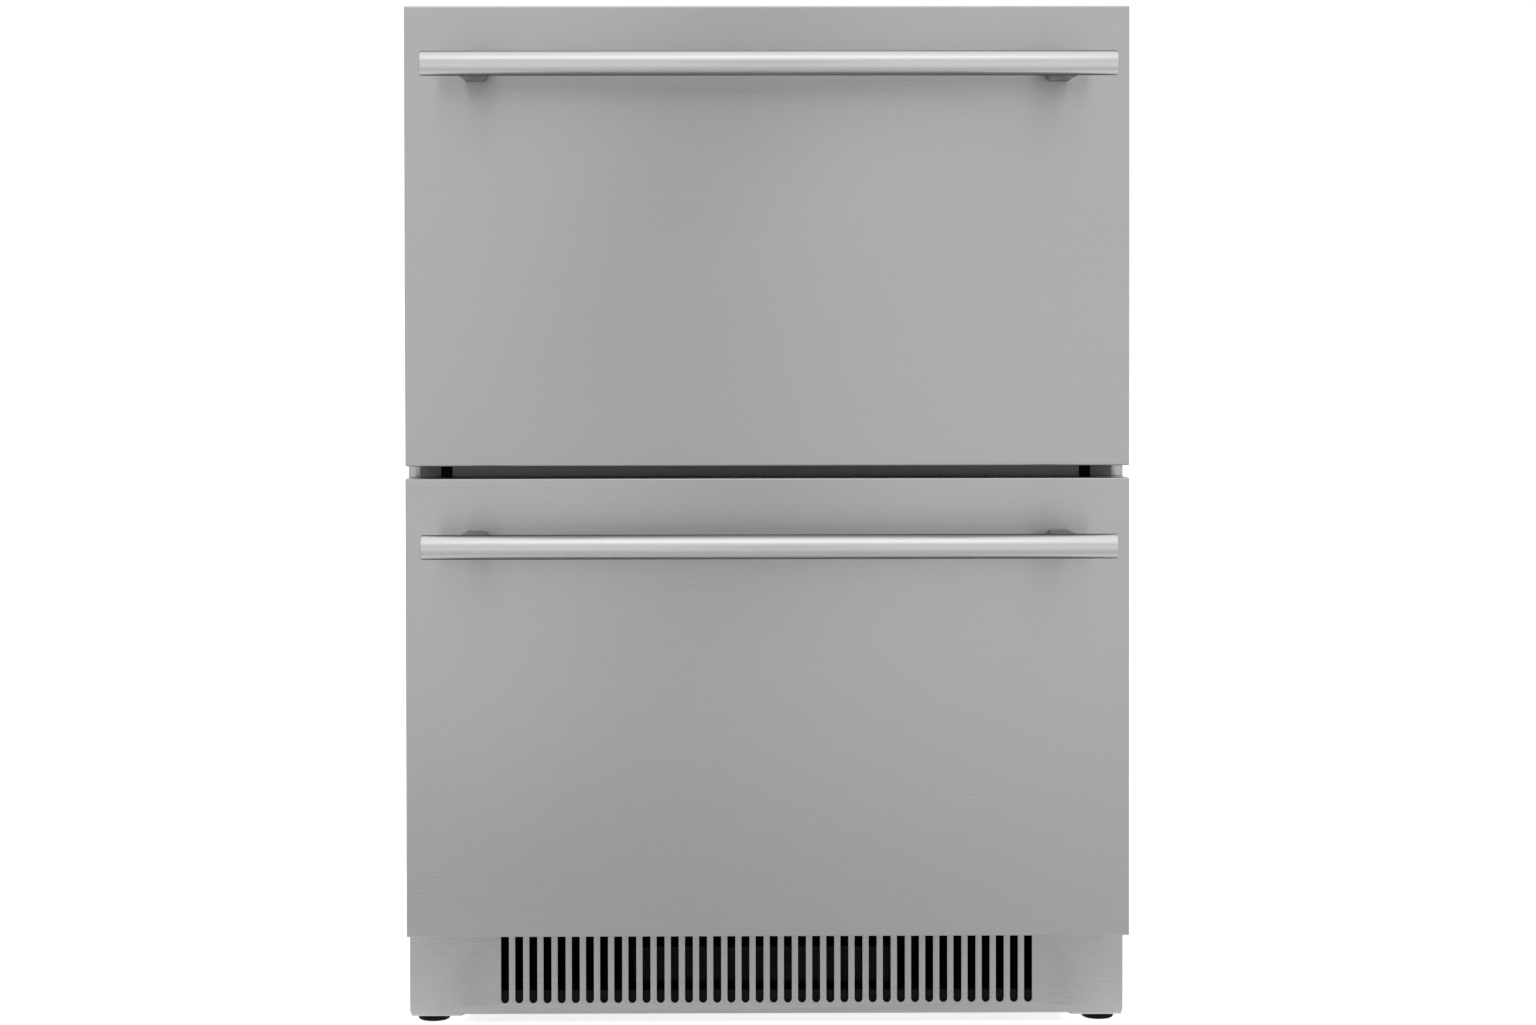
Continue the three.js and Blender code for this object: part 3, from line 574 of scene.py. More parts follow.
def screw_head(bm, place, facing, radius=0.0035):
    """Pan head with a cross recess, facing along a unit vector."""
    count = 32
    wide, reach, height = radius * 0.2, radius * 0.62, radius * 0.55
    turn = Vector((0, 0, 1)).rotation_difference(Vector(facing)).to_matrix()

    def cross(level):
        points = []
        for i in range(count):
            a = math.tau * (i + 0.5) / count
            off = abs((a + math.pi / 4) % (math.pi / 2) - math.pi / 4)
            r = min(reach / math.cos(off), wide / max(math.sin(off), 0.01))
            points.append(Vector((r * math.cos(a), r * math.sin(a), level)))
        return points

    rings = [[Vector((x, y, level)) for x, y in circle(r, count, math.pi / count)]
             for r, level in ((radius, 0), (radius, height * 0.35), (radius * 0.93, height * 0.7),
                              (radius * 0.78, height * 0.95))]
    rings += [cross(height), cross(height * 0.3)]
    return loft(bm, [[turn @ p + Vector(place) for p in ring] for ring in rings])


def add_screws(name, places, facing, body, radius=0.0035):
    bm = bmesh.new()
    for place in places:
        screw_head(bm, place, facing, radius)
    return add(name, bm, "bright_steel", body, "rail_steel")


def spaced(start, end, count):
    return [start + (end - start) * i / (count - 1) for i in range(count)]


# ---------------------------------------------------------------- drawer fronts

def add_front(level):
    skin_low, skin_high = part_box(f"front_skin_{level}")
    depth = skin_high.y - skin_low.y
    profile = fold(SKIN_FOLD) + [(depth - EDGE, 0), (depth, EDGE), (depth, SHEET - EDGE),
                                 (depth - EDGE, SHEET), (SHEET, SHEET)]
    stand_in(f"front_skin_{level}", moulded(skin_low, skin_high, profile, corner=0.0009))

    low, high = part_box(f"front_inner_panel_{level}")
    thick = high.y - low.y
    bead_start, bead_end, bead = 0.028, 0.04, 0.001
    profile = [(0, 0.001), (0.001, 0), (thick - 0.0012, 0), (thick - 0.0003, 0.0004),
               (thick, 0.0012), (thick, bead_start), (thick + bead, bead_start + 0.0016),
               (thick + bead, bead_end - 0.0016), (thick, bead_end)]
    stand_in(f"front_inner_panel_{level}", moulded(low, high, profile, corner=0.004))

    low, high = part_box(f"gasket_{level}")
    stand_in(f"gasket_{level}", gasket(low, high))
    keep_cad(f"front_foam_{level}", 0.001)
    add_handle(level)


def gasket(low, high):
    """Bellows seal with a magnet strip, mitred at its corners."""
    deep = high.y - low.y
    half = 0.007
    outside = [(0, 0.005), (0.1, 0.0058), (0.2, 0.0038), (0.32, 0.0058), (0.44, 0.004),
               (0.56, 0.0062), (0.64, half), (0.94, half), (1, 0.0064)]
    profile = [(deep * t, half - reach) for t, reach in outside]
    profile += [(deep * t, half + reach) for t, reach in reversed(outside)]
    return moulded(low, high, profile, corner=EPS, loop=True)


def add_handle(level):
    low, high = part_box(f"handle_bar_{level}")
    centre = (low + high) / 2
    half = (high.x - low.x) / 2
    radius = (high.z - low.z) / 2
    chamfer = 0.0012
    end = [(0.002, half - 0.0002), (radius - 0.0032, half - 0.0002), (radius - 0.003, half),
           (radius - chamfer, half), (radius - chamfer * 0.3, half - chamfer * 0.3),
           (radius, half - chamfer)]
    profile = end + [(r, -x) for r, x in reversed(end)]
    stand_in(f"handle_bar_{level}", turned(profile, centre, "x", 64))

    for side in SIDES:
        node = f"handle_post_{level}_{side}"
        # the posts take the darker steel, painted shade
        stand_in(node, handle_post(*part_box(node), centre, radius), "painted_shade_steel")


def handle_post(low, high, bar, radius):
    """Post that widens from its foot towards the bar, whose tube it is coped to."""
    middle = (low + high) / 2
    half_head, half_foot, half_z = (high.x - low.x) / 2, 0.00875, (high.z - low.z) / 2
    foot = high.y
    gap = 0.0001

    def ring(share, flare):
        points = []
        half_x = half_foot + (half_head - half_foot) * share + flare
        for x, z in rounded(-half_x, half_x, -half_z - flare, half_z + flare, 0.002 + flare):
            behind = bar.y + math.sqrt(max(0, (radius + gap) ** 2 - z * z))
            points.append(Vector((middle.x + x, foot + (behind - foot) * share, middle.z + z)))
        return points

    rings = [ring(0, 0.0), ring(0.5, 0.0), ring(0.97, 0.0), ring(1.0, -0.0004)]
    return loft(bmesh.new(), rings)


# ---------------------------------------------------------------- bins and liner

def open_shell(outline, half_width, is_open, radius, segments=5):
    """Prism along X from a (y, z) outline, without its open faces and with round edges."""
    bm = extruded(outline, "x", -half_width, half_width)
    bmesh.ops.recalc_face_normals(bm, faces=bm.faces)
    bm.normal_update()
    opened = [f for f in bm.faces if is_open(f.normal)]
    bmesh.ops.delete(bm, geom=opened, context="FACES")
    inner = [e for e in bm.edges if len(e.link_faces) == 2]
    bmesh.ops.bevel(bm, geom=inner, offset=radius, segments=segments, profile=0.5,
                    affect="EDGES", clamp_overlap=True)
    return bm


def turn_out(bm, move):
    """Extrudes the open edge, moving each of its points by move(point)."""
    edge = [e for e in bm.edges if e.is_boundary]
    made = bmesh.ops.extrude_edge_only(bm, edges=edge)
    verts = [v for v in made["geom"] if isinstance(v, bmesh.types.BMVert)]
    for v, offset in [(v, move(v.co)) for v in verts]:
        v.co += offset
    return edge


def outwards(point, low, high, radius, axes):
    """Unit vector out of a rectangle with round corners, in the plane of two axes."""
    away = Vector()
    for i in axes:
        away[i] = point[i] - min(max(point[i], low[i] + radius), high[i] - radius)
    return away.normalized()


def solidify(piece, thickness, offset):
    modifier = piece.modifiers.new("thickness", "SOLIDIFY")
    modifier.thickness = thickness
    modifier.offset = offset
    modifier.use_even_offset = True


BIN_ROUND = 0.014
BIN_RIM = 0.004
BIN_ROLL = 0.005
LINER_ROUND = 0.012


def step_of(node):
    """Front and top of the step over the machine compartment, from a stepped node's mesh."""
    low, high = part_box(node)
    inside = [v.co for v in frame["nodes"][node].data.vertices
              if low.z + 0.02 < v.co.z < low.z + 0.26 and low.y + 0.1 < v.co.y < high.y - 0.05]
    return min(p.y for p in inside), max(p.z for p in inside)


def add_bin(level):
    node = f"bin_{level}"
    low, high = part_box(node)
    wall = PLASTIC / 2
    y0, y1 = low.y + BIN_RIM + wall, high.y - BIN_RIM - wall
    floor, top = low.z + wall, high.z - wall
    outline = [(y0, floor), (y1, floor), (y1, top), (y0, top)]
    if level == "lower":
        step_y, step_z = step_of(node)
        outline[1:2] = [(step_y, floor), (step_y, step_z - wall), (y1, step_z - wall)]
    half = high.x - PLASTIC
    bm = open_shell(outline, half, lambda n: n.z > 0.9, BIN_ROUND)
    corner_low, corner_high = Vector((-half, y0, 0)), Vector((half, y1, 0))
    turn_out(bm, lambda p: outwards(p, corner_low, corner_high, BIN_ROUND, (0, 1)) * BIN_RIM)
    turn_out(bm, lambda p: Vector((0, 0, -BIN_ROLL)))
    piece = stand_in(node, bm, oriented=True)
    solidify(piece, PLASTIC, 0)
    bevel = add_bevel(piece, 0.0008, 3)
    bevel.angle_limit = math.radians(60)


def add_liner():
    node = "inner_liner"
    low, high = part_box(node)
    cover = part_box("evaporator_cover")[1]
    step_y, step_z = step_of(node)
    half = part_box("rail_fixed_upper_right")[1].x
    floor = low.z + PLASTIC
    ceiling = high.z - 0.0105
    back = high.y - PLASTIC
    outline = [(low.y, floor), (step_y, floor), (step_y, step_z), (back, step_z),
               (back, ceiling), (low.y, ceiling)]
    bm = open_shell(outline, half, lambda n: n.y < -0.9, LINER_ROUND, 6)
    corner_low, corner_high = Vector((-half, 0, floor)), Vector((half, 0, ceiling))
    lip = high.x - half

    reach_low = Vector((-lip, 0, -PLASTIC))
    reach_high = Vector((lip, 0, high.z - ceiling))

    def flare(p):
        """Out to the square outer edge of the lip, from a mouth with round corners."""
        away = outwards(p, corner_low, corner_high, LINER_ROUND, (0, 2))
        widest = max(abs(away.x), abs(away.z))
        move = Vector()
        for i in (0, 2):
            target = corner_high[i] + reach_high[i] if away[i] > 0 else corner_low[i] + reach_low[i]
            move[i] = (target - p[i]) * min(1, abs(away[i]) / widest)
        return move

    mouth = turn_out(bm, flare)
    bmesh.ops.bevel(bm, geom=mouth, offset=0.002, segments=3, profile=0.5, affect="EDGES")
    piece = stand_in(node, bm, oriented=True)
    solidify(piece, PLASTIC, 1)


# ---------------------------------------------------------------- cabinet

def channel(low, high, opens, u=0, v=2):
    """Path of a folded channel's outside, which opens towards +u or -u."""
    back, lip = (low[u], high[u]) if opens > 0 else (high[u], low[u])
    bottom, top = low[v], high[v]
    path = [(lip, top), (back, top), (back, bottom), (lip, bottom)]
    return path if opens > 0 else path[::-1]


def add_cabinet():
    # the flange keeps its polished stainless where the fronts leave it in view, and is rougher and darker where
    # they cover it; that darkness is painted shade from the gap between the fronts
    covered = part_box("front_skin_upper")[1].x - 0.007
    low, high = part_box("side_panel_right")
    right = [(low.x, low.y), (covered, low.y), (high.x, low.y), (high.x, high.y)]
    low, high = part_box("side_panel_left")
    left = [(low.x, high.y), (low.x, low.y), (-covered, low.y), (high.x, low.y)]
    for node, path in (("side_panel_right", right), ("side_panel_left", left)):
        panel = stand_in(node, extruded(folded(path), "z", low.z, high.z), bevel=EDGE)
        repaint(panel, "painted_shade_flange_steel",
                lambda face: face.normal.y < -0.9 and abs(face.center.x) < covered)

    # the top sheet folds down between the side flanges and lies flat over them
    low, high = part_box("top_panel")
    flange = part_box("side_panel_right")[0].x
    path = [(high.y, high.z), (low.y, high.z), (low.y, low.z)]
    bm = extruded(folded(path), "x", -flange, flange)
    for x0, x1 in ((low.x, -flange), (flange, high.x)):
        moulded(Vector((x0, low.y, high.z - SHEET)), Vector((x1, high.y, high.z)),
                [(0, 0), (SHEET - EDGE, 0), (SHEET, EDGE)], "z", EDGE, bm=bm)
    stand_in("top_panel", bm, "stainless_top")

    add_mullion()
    add_back()
    low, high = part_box("base_pan")
    tray = [(low.y, high.z), (low.y, low.z), (high.y, low.z), (high.y, high.z)]
    feet = [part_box(f"foot_{place}") for place in FOOT_PLACES]
    studs = [((a.x + b.x) / 2, (a.y + b.y) / 2) for a, b in feet]
    pan = drilled(extruded(folded(tray), "x", low.x, high.x), studs, STUD_HOLE,
                  low.z - SHEET, low.z + 2 * SHEET)
    stand_in("base_pan", pan, "shadow_black", bevel=EDGE)
    keep_cad("compartment_partition")
    keep_cad("insulation", 0.001)


def add_mullion():
    low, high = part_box("mullion")
    face_end = Vector((high.x, low.y + SHEET, high.z))
    edge = [(SHEET, 0), (EDGE, 0), (0, EDGE)]
    bm = moulded(low, face_end, edge, corner=0.001)
    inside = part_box("rail_fixed_upper_right")[1].x
    behind = Vector((low.x, low.y + SHEET / 4, low.z))
    extruded(folded(channel(behind, high, 1, 1, 2)), "x", -inside, inside, bm)
    # the mullion takes the darker steel, painted shade for its recess between the fronts
    stand_in("mullion", bm, "painted_shade_steel")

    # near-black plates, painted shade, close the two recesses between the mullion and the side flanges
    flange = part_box("side_panel_right")[0].x
    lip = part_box("inner_liner")[0].y
    for side, sign in (("left", -1), ("right", 1)):
        x0, x1 = sorted((sign * (high.x + EPS), sign * (flange - EPS)))
        bm = moulded(Vector((x0, lip - 0.0007, low.z - 0.004)),
                     Vector((x1, lip - EPS, high.z + 0.004)), [(0.0006, 0), (0.0003, 0), (0, 0.0003)],
                     corner=0.0008)
        add(f"painted_shade_plate_{side}", bm, "shadow_black", "cabinet", "black_plastic")


# ---------------------------------------------------------------- kick plate and back

SLOT_COUNT = 38
SLOT_PITCH = 0.012
SLOT_WIDTH = 0.0067
SLOT_ABOVE_EDGE = 0.009
SLOT_BELOW_TOP = 0.004
KICK_CORNER = 0.0008
VENT_COLUMNS = 14
VENT_PITCH = 0.036
VENT_WIDTH = 0.009
VENT_ROWS = ((0.140, 0.205), (0.225, 0.290))


def add_kick_plate():
    low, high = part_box("kick_plate")
    outline = rounded(low.x, high.x, low.z, high.z, KICK_CORNER)
    first = -SLOT_PITCH * (SLOT_COUNT - 1) / 2
    holes = [slot_hole(first + i * SLOT_PITCH, low.z + SLOT_ABOVE_EDGE,
                       high.z - SLOT_BELOW_TOP, SLOT_WIDTH) for i in range(SLOT_COUNT)]
    stand_in("kick_plate", cut_plate(outline, holes, low.y, high.y - low.y))


def add_back():
    low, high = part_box("back_panel")
    ridge = 0.0015
    steps = [(0, 0), (0.034, 0), (0.038, ridge), (0.05, ridge), (0.054, 0), (0.1, 0),
             (0.104, ridge), (0.112, ridge), (0.116, 0), (0.17, 0)]
    stand_in("back_panel", pressed(low, high, steps))
    inset = 0.014
    columns = spaced(low.x + inset, high.x - inset, 5)
    rows = spaced(low.z + inset, high.z - inset, 5)
    places = [(x, high.y, z) for x in columns for z in (rows[0], rows[-1])]
    places += [(x, high.y, z) for x in (columns[0], columns[-1]) for z in rows[1:-1]]
    sunk = 0.0012
    places = [(x, y - sunk, z) for x, y, z in places]
    add_screws("back_panel_screws", places, (0, 1, 0), "cabinet")

    low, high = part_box("rear_cover")
    first = -VENT_PITCH * (VENT_COLUMNS - 1) / 2
    holes = [slot_hole(first + i * VENT_PITCH, *row, VENT_WIDTH)
             for row in VENT_ROWS for i in range(VENT_COLUMNS)]
    inlet_low, inlet_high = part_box("power_inlet")
    holes.append(rounded(inlet_low.x - EPS, inlet_high.x + EPS, inlet_low.z - EPS,
                         inlet_high.z + EPS, 0.002))
    plate = cut_plate(rounded(low.x, high.x, low.z, high.z, 0.002), holes, low.y,
                      high.y - low.y)
    stand_in("rear_cover", plate)
    places = [(x, high.y - sunk, z) for x in spaced(low.x + inset, high.x - inset, 5)
              for z in (high.z - inset / 2, low.z + inset)]
    add_screws("rear_cover_screws", places, (0, 1, 0), "cabinet")


def pressed(low, high, steps, axis="y", corner=0.002):
    """Sheet with pressed ridges. steps has (inset, depth) pairs from the edge inwards."""
    w = ACROSS[axis][2]
    thick = high[w] - low[w]
    front = [(depth, inset) for inset, depth in reversed(steps)]
    behind = [(depth + thick, inset) for inset, depth in steps]
    return moulded(low, high, front + behind, axis, corner)


# ---------------------------------------------------------------- feet

THREAD_PITCH = 0.0015
THREAD_DEPTH = 0.0008


def add_feet():
    for place in FOOT_PLACES:
        node = f"foot_{place}"
        low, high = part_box(node)
        centre = (low + high) / 2
        centre.z = low.z
        pad = (high.x - low.x) / 2
        stud = STUD
        profile = [(pad - 0.003, 0), (pad - 0.0015, 0.0002), (pad - 0.0004, 0.0008),
                   (pad, 0.0018), (pad, 0.0034), (pad - 0.0006, 0.0041), (pad - 0.003, 0.0052),
                   (stud + 0.002, 0.0058), (stud, 0.006)]
        z = 0.0065
        while z < high.z - low.z - 0.002:
            profile += [(stud, z), (stud - THREAD_DEPTH, z + THREAD_PITCH / 2)]
            z += THREAD_PITCH
        profile += [(stud, high.z - low.z - 0.001), (stud - 0.001, high.z - low.z)]
        stand_in(node, turned(profile, centre, count=SMALL_ROUND * 2), "shadow_black")
    for side in SIDES:
        # the brackets take the lighter zinc, painted light
        keep_cad(f"foot_bracket_{side}", 0.0004, "painted_light_bracket_zinc")


# ---------------------------------------------------------------- rails

BALL = 0.0008
BALL_PITCH = 0.012
BALL_COUNT = 14


def add_rails(level):
    for side, wall in (("left", 1), ("right", -1)):
        for kind, opens in (("fixed", wall), ("middle", wall), ("moving", -wall)):
            node = f"rail_{kind}_{level}_{side}"
            low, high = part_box(node)
            section = folded(channel(low, high, opens), SHEET, 0.0018)
            stand_in(node, extruded(section, "y", low.y, high.y), bevel=0.0002)
        add_ball_cage(level, side, wall)


def add_ball_cage(level, side, wall):
    """Two strips of balls in the gaps above and below the middle member."""
    low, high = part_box(f"rail_middle_{level}_{side}")
    x = (low.x + high.x) / 2
    bm = bmesh.new()
    for z, out in ((high.z, 1), (low.z, -1)):
        centre_z = z + out * (BALL + EPS)
        for start in (low.y + 0.02, high.y - 0.02 - BALL_PITCH * (BALL_COUNT - 1)):
            strip = 0.00025
            end = start + BALL_PITCH * (BALL_COUNT - 1)
            moulded(Vector((x - 0.0016, start - 0.004, centre_z - strip)),
                    Vector((x + 0.0016, end + 0.004, centre_z + strip)),
                    [(0, 0.0001), (0.0001, 0), (2 * strip - 0.0001, 0), (2 * strip, 0.0001)],
                    "z", 0.001, bm=bm)
            for i in range(BALL_COUNT):
                turned(BALL_PROFILE, Vector((x, start + i * BALL_PITCH, centre_z)),
                       count=10, bm=bm)
    add(f"ball_cage_{level}_{side}", bm, "bright_steel", f"{level}_rails", "rail_steel")


BALL_PROFILE = [(max(BALL * math.sin(math.pi * i / 8), BALL / 12), -BALL * math.cos(math.pi * i / 8))
                for i in range(9)]


# ---------------------------------------------------------------- refrigeration machine

def add_machine():
    add_compressor()
    add_coil("condenser", 0.003, 9, 0.0032)
    keep_cad("condenser_fan_frame", 0.0015)
    add_fan("condenser_fan", 0.018)
    low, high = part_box("drain_pan")
    deep = high.z - low.z
    tray = [(0, 0.008), (0.0008, 0.005), (0.004, 0.0018), (0.01, 0.0012), (deep - 0.004, 0.0006),
            (deep - 0.003, 0), (deep - 0.0008, 0), (deep, 0.0008), (deep, 0.003),
            (deep - 0.0008, 0.0038), (0.011, 0.0042), (0.005, 0.0052), (0.0028, 0.009)]
    stand_in("drain_pan", moulded(low, high, tray, "z", 0.016))
    add_inlet()
    add_tubes()


def add_compressor():
    low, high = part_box("compressor")
    centre = Vector(((low.x + high.x) / 2, (low.y + high.y) / 2, low.z))
    top = high.z - low.z
    seam = top * 0.54
    radius = 0.071
    profile = [(0.03, 0.0045), (0.054, 0.006), (0.065, 0.014), (radius - 0.001, 0.028),
               (radius, 0.045), (radius, seam - 0.002), (radius + 0.0012, seam - 0.0012),
               (radius + 0.0012, seam + 0.0012), (radius, seam + 0.002), (radius, seam + 0.016),
               (0.069, seam + 0.03), (0.063, seam + 0.046), (0.052, seam + 0.058),
               (0.034, top - 0.004), (0.016, top - 0.0008), (0.002, top)]
    bm = turned(profile, centre)
    plate_top = Vector((high.x, high.y, low.z + 0.004))
    moulded(low, plate_top, [(0, 0.02), (0, 0.0003), (0.0005, 0), (0.0035, 0), (0.004, 0.0005),
                             (0.004, 0.006), (0.0028, 0.0075), (0.0028, 0.02)], "z", 0.014, bm=bm)
    box_low = centre + Vector((-0.096, -0.02, 0.05))
    moulded(box_low, box_low + Vector((0.034, 0.04, 0.05)),
            [(d, i) for d, i in fold(0.004)] + [(0.034, 0)], "x", 0.005, bm=bm)
    stand_in("compressor", bm)
    rubber = bmesh.new()
    for x in (low.x + 0.014, high.x - 0.014):
        for y in (low.y + 0.014, high.y - 0.014):
            turned([(0.003, 0.0042), (0.0085, 0.0042), (0.009, 0.006), (0.007, 0.008),
                    (0.009, 0.010), (0.0085, 0.012), (0.003, 0.012)],
                   Vector((x, y, low.z)), count=SMALL_ROUND, bm=rubber)
    add("compressor_grommets", rubber, "gasket_rubber", "cabinet")


def add_coil(node, pitch, rows, tube):
    """Thin upright fins on tubes that run back and forth through them."""
    low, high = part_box(node)
    end = 0.014
    fin = 0.0003
    bm = bmesh.new()
    count = int((high.x - low.x - 2 * end) / pitch)
    middle_y = (low.y + high.y) / 2
    for x in spaced(low.x + end, high.x - end - fin, count):
        extruded([(low.y, low.z), (high.y, low.z), (high.y, high.z), (low.y, high.z)], "x",
                 x, x + fin, bm)
    for x in (low.x + end - 0.002, high.x - end + 0.001):
        extruded(rounded(low.y, high.y, low.z, high.z, 0.002), "x", x, x + 0.001, bm)
    step = (high.z - low.z) / rows
    left, right = low.x + end - 0.004, high.x - end + 0.004
    path = []
    for i in range(rows):
        z = low.z + step * (i + 0.5)
        start, finish = (left, right) if i % 2 == 0 else (right, left)
        inwards = (finish - start) * 0.04
        path += [(start, middle_y, z), (start + inwards, middle_y, z),
                 (finish - inwards, middle_y, z), (finish, middle_y, z)]
        if i < rows - 1:
            reach = 0.008 if finish > start else -0.008
            path.append((finish + reach, middle_y, z + step / 2))
    swept(path, tube, 8, bm, 4)
    stand_in(node, bm)


def joint_centre(name):
    joint = next(j for j in frame["joints"] if j["name"] == name)
    return Vector(joint["pos_m"])


def add_fan(name, chord_depth, blades=5):
    """Moulded wheel: a domed hub and twisted, cambered blades."""
    node = f"{name}_blade"
    low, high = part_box(node)
    centre = joint_centre(f"{name}_spin")
    tip = high.x - centre.x - 0.001
    middle = (low.y + high.y) / 2
    hub = tip * 0.27
    half = (high.y - low.y) / 2
    bm = turned([(0.004, -half), (hub - 0.003, -half + 0.0003), (hub - 0.0008, -half + 0.002),
                 (hub, -half + 0.005), (hub, half - 0.001), (hub - 0.001, half),
                 (hub - 0.003, half), (hub - 0.003, 0), (0.005, 0), (0.005, half - 0.001),
                 (0.0033, half - 0.001), (0.0033, -half / 2)],
                Vector((centre.x, middle, centre.z)), "y")
    sections = 7
    across = 7
    for blade in range(blades):
        rings = []
        for k in range(sections):
            share = k / (sections - 1)
            r = hub * 0.96 + (tip - hub * 0.96) * share
            pitch = math.radians(44 - 18 * share)
            chord = chord_depth / math.sin(pitch) * (0.8 + 0.2 * math.sin(math.pi * share))
            ring = []
            for face in (1, -1):
                for i in range(across):
                    s = (i / (across - 1) - 0.5) * face
                    camber = 0.09 * chord * (1 - 4 * s * s)
                    thick = face * 0.0006 * (1 - 3 * s * s)
                    swing = s * chord * math.cos(pitch) - camber * math.sin(pitch)
                    deep = s * chord * math.sin(pitch) + camber * math.cos(pitch) + thick
                    a = math.tau * blade / blades + swing / r
                    ring.append(Vector((centre.x + r * math.cos(a), middle + deep - 0.001,
                                        centre.z + r * math.sin(a))))
            rings.append(ring)
        loft(bm, rings)
    stand_in(node, bm)


def add_inlet():
    low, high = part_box("power_inlet")
    deep = high.y - low.y
    well = 0.017
    profile = [(0, 0.001), (0.001, 0), (deep - 0.0006, 0), (deep, 0.0006), (deep, 0.0024),
               (deep - 0.0005, 0.003), (deep - well, 0.003)]
    stand_in("power_inlet", moulded(low, high, profile, corner=0.0035))
    centre = (low + high) / 2
    bm = bmesh.new()
    for x, z in ((-0.007, -0.002), (0, 0.002), (0.007, -0.002)):
        pin = Vector((centre.x + x - 0.001, high.y - well, centre.z + z - 0.002))
        moulded(pin, pin + Vector((0.002, 0.014, 0.004)),
                [(0, 0), (0.013, 0), (0.014, 0.0006)], corner=0.0005, bm=bm)
    add("power_inlet_pins", bm, "bright_steel", "cabinet", "rail_steel")


def add_tubes():
    """Copper suction, discharge and capillary lines between the parts of the machine."""
    low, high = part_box("compressor")
    coil_low, coil_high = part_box("condenser")
    top = high.z - low.z
    x, y = (low.x + high.x) / 2, (low.y + high.y) / 2
    bm = bmesh.new()
    out = Vector((x - 0.03, y - 0.058, low.z + top * 0.4))
    swept([out, out + Vector((-0.006, -0.016, 0.004)), out + Vector((-0.03, -0.03, 0.03)),
           Vector((coil_high.x + 0.03, coil_high.y - 0.01, coil_high.z - 0.03)),
           Vector((coil_high.x - 0.006, (coil_low.y + coil_high.y) / 2, coil_high.z - 0.013))],
          0.0032, bm=bm)
    suction = Vector((x + 0.03, y - 0.058, low.z + top * 0.6))
    swept([suction, suction + Vector((0.006, -0.018, 0.006)),
           suction + Vector((0.01, -0.024, 0.06)), suction + Vector((0.008, -0.02, 0.14))],
          0.004, bm=bm)
    drier = Vector((coil_low.x + 0.008, coil_high.y + 0.024, coil_low.z + 0.05))
    swept([drier + Vector((0, 0, 0.1)), drier + Vector((0, 0.002, 0.13)),
           drier + Vector((0.03, 0.008, 0.17)), drier + Vector((0.07, 0.004, 0.2))],
          0.0012, bm=bm)
    turned([(0.0014, -0.006), (0.004, 0), (0.0085, 0.008), (0.0085, 0.086), (0.004, 0.096),
            (0.0014, 0.102)], drier, count=SMALL_ROUND, bm=bm)
    add("refrigerant_lines", bm, "copper", "cabinet", "aluminium")


# ---------------------------------------------------------------- evaporator and its cover

def add_evaporator():
    add_coil("evaporator", 0.005, 7, 0.004)
    keep_cad("evaporator_fan_motor", 0.001)
    add_fan("evaporator_fan", 0.013)
    low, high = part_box("evaporator_cover")
    centre = joint_centre("evaporator_fan_spin")
    opening = 0.054
    front = PLASTIC
    slots = [slot_hole(low.x + 0.041 + i * 0.032, low.z + 0.025, low.z + 0.105, 0.012)
             for i in range(7)]
    round_hole = [(centre.x + x, centre.z + z) for x, z in circle(opening)]
    inset = 0.0022
    plate = cut_plate(rounded(low.x + inset, high.x - inset, low.z + inset, high.z - inset,
                              0.010), [*slots, round_hole], low.y, front)
    deep = high.y - low.y
    moulded(low, high, [(front * 0.1, inset), (front * 0.4, 0.0009), (0.0035, 0), (deep, 0),
                        (deep, PLASTIC), (front, PLASTIC)], corner=0.012, loop=True, bm=plate)
    stand_in("evaporator_cover", plate)

    guard = bmesh.new()
    wire = 0.0009
    for radius in spaced(0.012, opening - 0.004, 6):
        ring = circle(radius, SMALL_ROUND * 2)
        rings = [[Vector((centre.x, low.y + 0.001, centre.z))
                  + Vector((x / radius * (radius + a), b, z / radius * (radius + a)))
                  for a, b in circle(wire, 8)] for x, z in ring]
        loft(guard, rings, loop=True)
    for i in range(4):
        a = math.tau * (i + 0.5) / 4
        reach = Vector((math.cos(a), 0, math.sin(a)))
        hub = Vector((centre.x, low.y + 0.0022, centre.z))
        swept([hub + reach * 0.010, hub + reach * 0.03, hub + reach * (opening + 0.002)],
              wire, 8, guard, 3)
    add("evaporator_fan_guard", guard, "white_plastic", "cabinet")


# ---------------------------------------------------------------- control and light

def add_controls():
    keep_cad("control_housing", 0.0006)
    low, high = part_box("control_housing")
    power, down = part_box("button_power"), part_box("button_down")
    window_low = Vector((power[1].x + 0.012, low.y - 0.0006, power[0].z - 0.001))
    window_high = Vector((down[0].x - 0.01, low.y - 0.0001, power[1].z + 0.001))
    add("control_window", moulded(window_low, window_high, [(0.0005, 0), (0.0002, 0), (0, 0.0003)],
                                  corner=0.002), "glass_black", "cabinet", "black_plastic")
    for node in ("button_power", "button_down", "button_up"):
        low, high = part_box(node)
        deep = high.y - low.y
        bm = moulded(low, high, [(0, 0.0022), (0.0001, 0.0012), (0.0004, 0.0005), (0.001, 0),
                                 (deep, 0)], corner=0.0018)
        button_mark(bm, node, low, high)
        stand_in(node, bm)

    low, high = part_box("light_bar")
    ribs = 26
    rib = 0.0007
    outline = [(low.y + 0.001, high.z), (low.y, high.z - 0.001)]
    outline += [(low.y, low.z + 0.003), (low.y + 0.0012, low.z + 0.0006)]
    for i in range(ribs + 1):
        y = low.y + 0.002 + (high.y - low.y - 0.004) * i / ribs
        outline.append((y, low.z + (rib if i % 2 else 0)))
    outline += [(high.y, low.z + 0.003), (high.y, high.z)]
    stand_in("light_bar", extruded(outline, "x", low.x, high.x), bevel=0.0002)


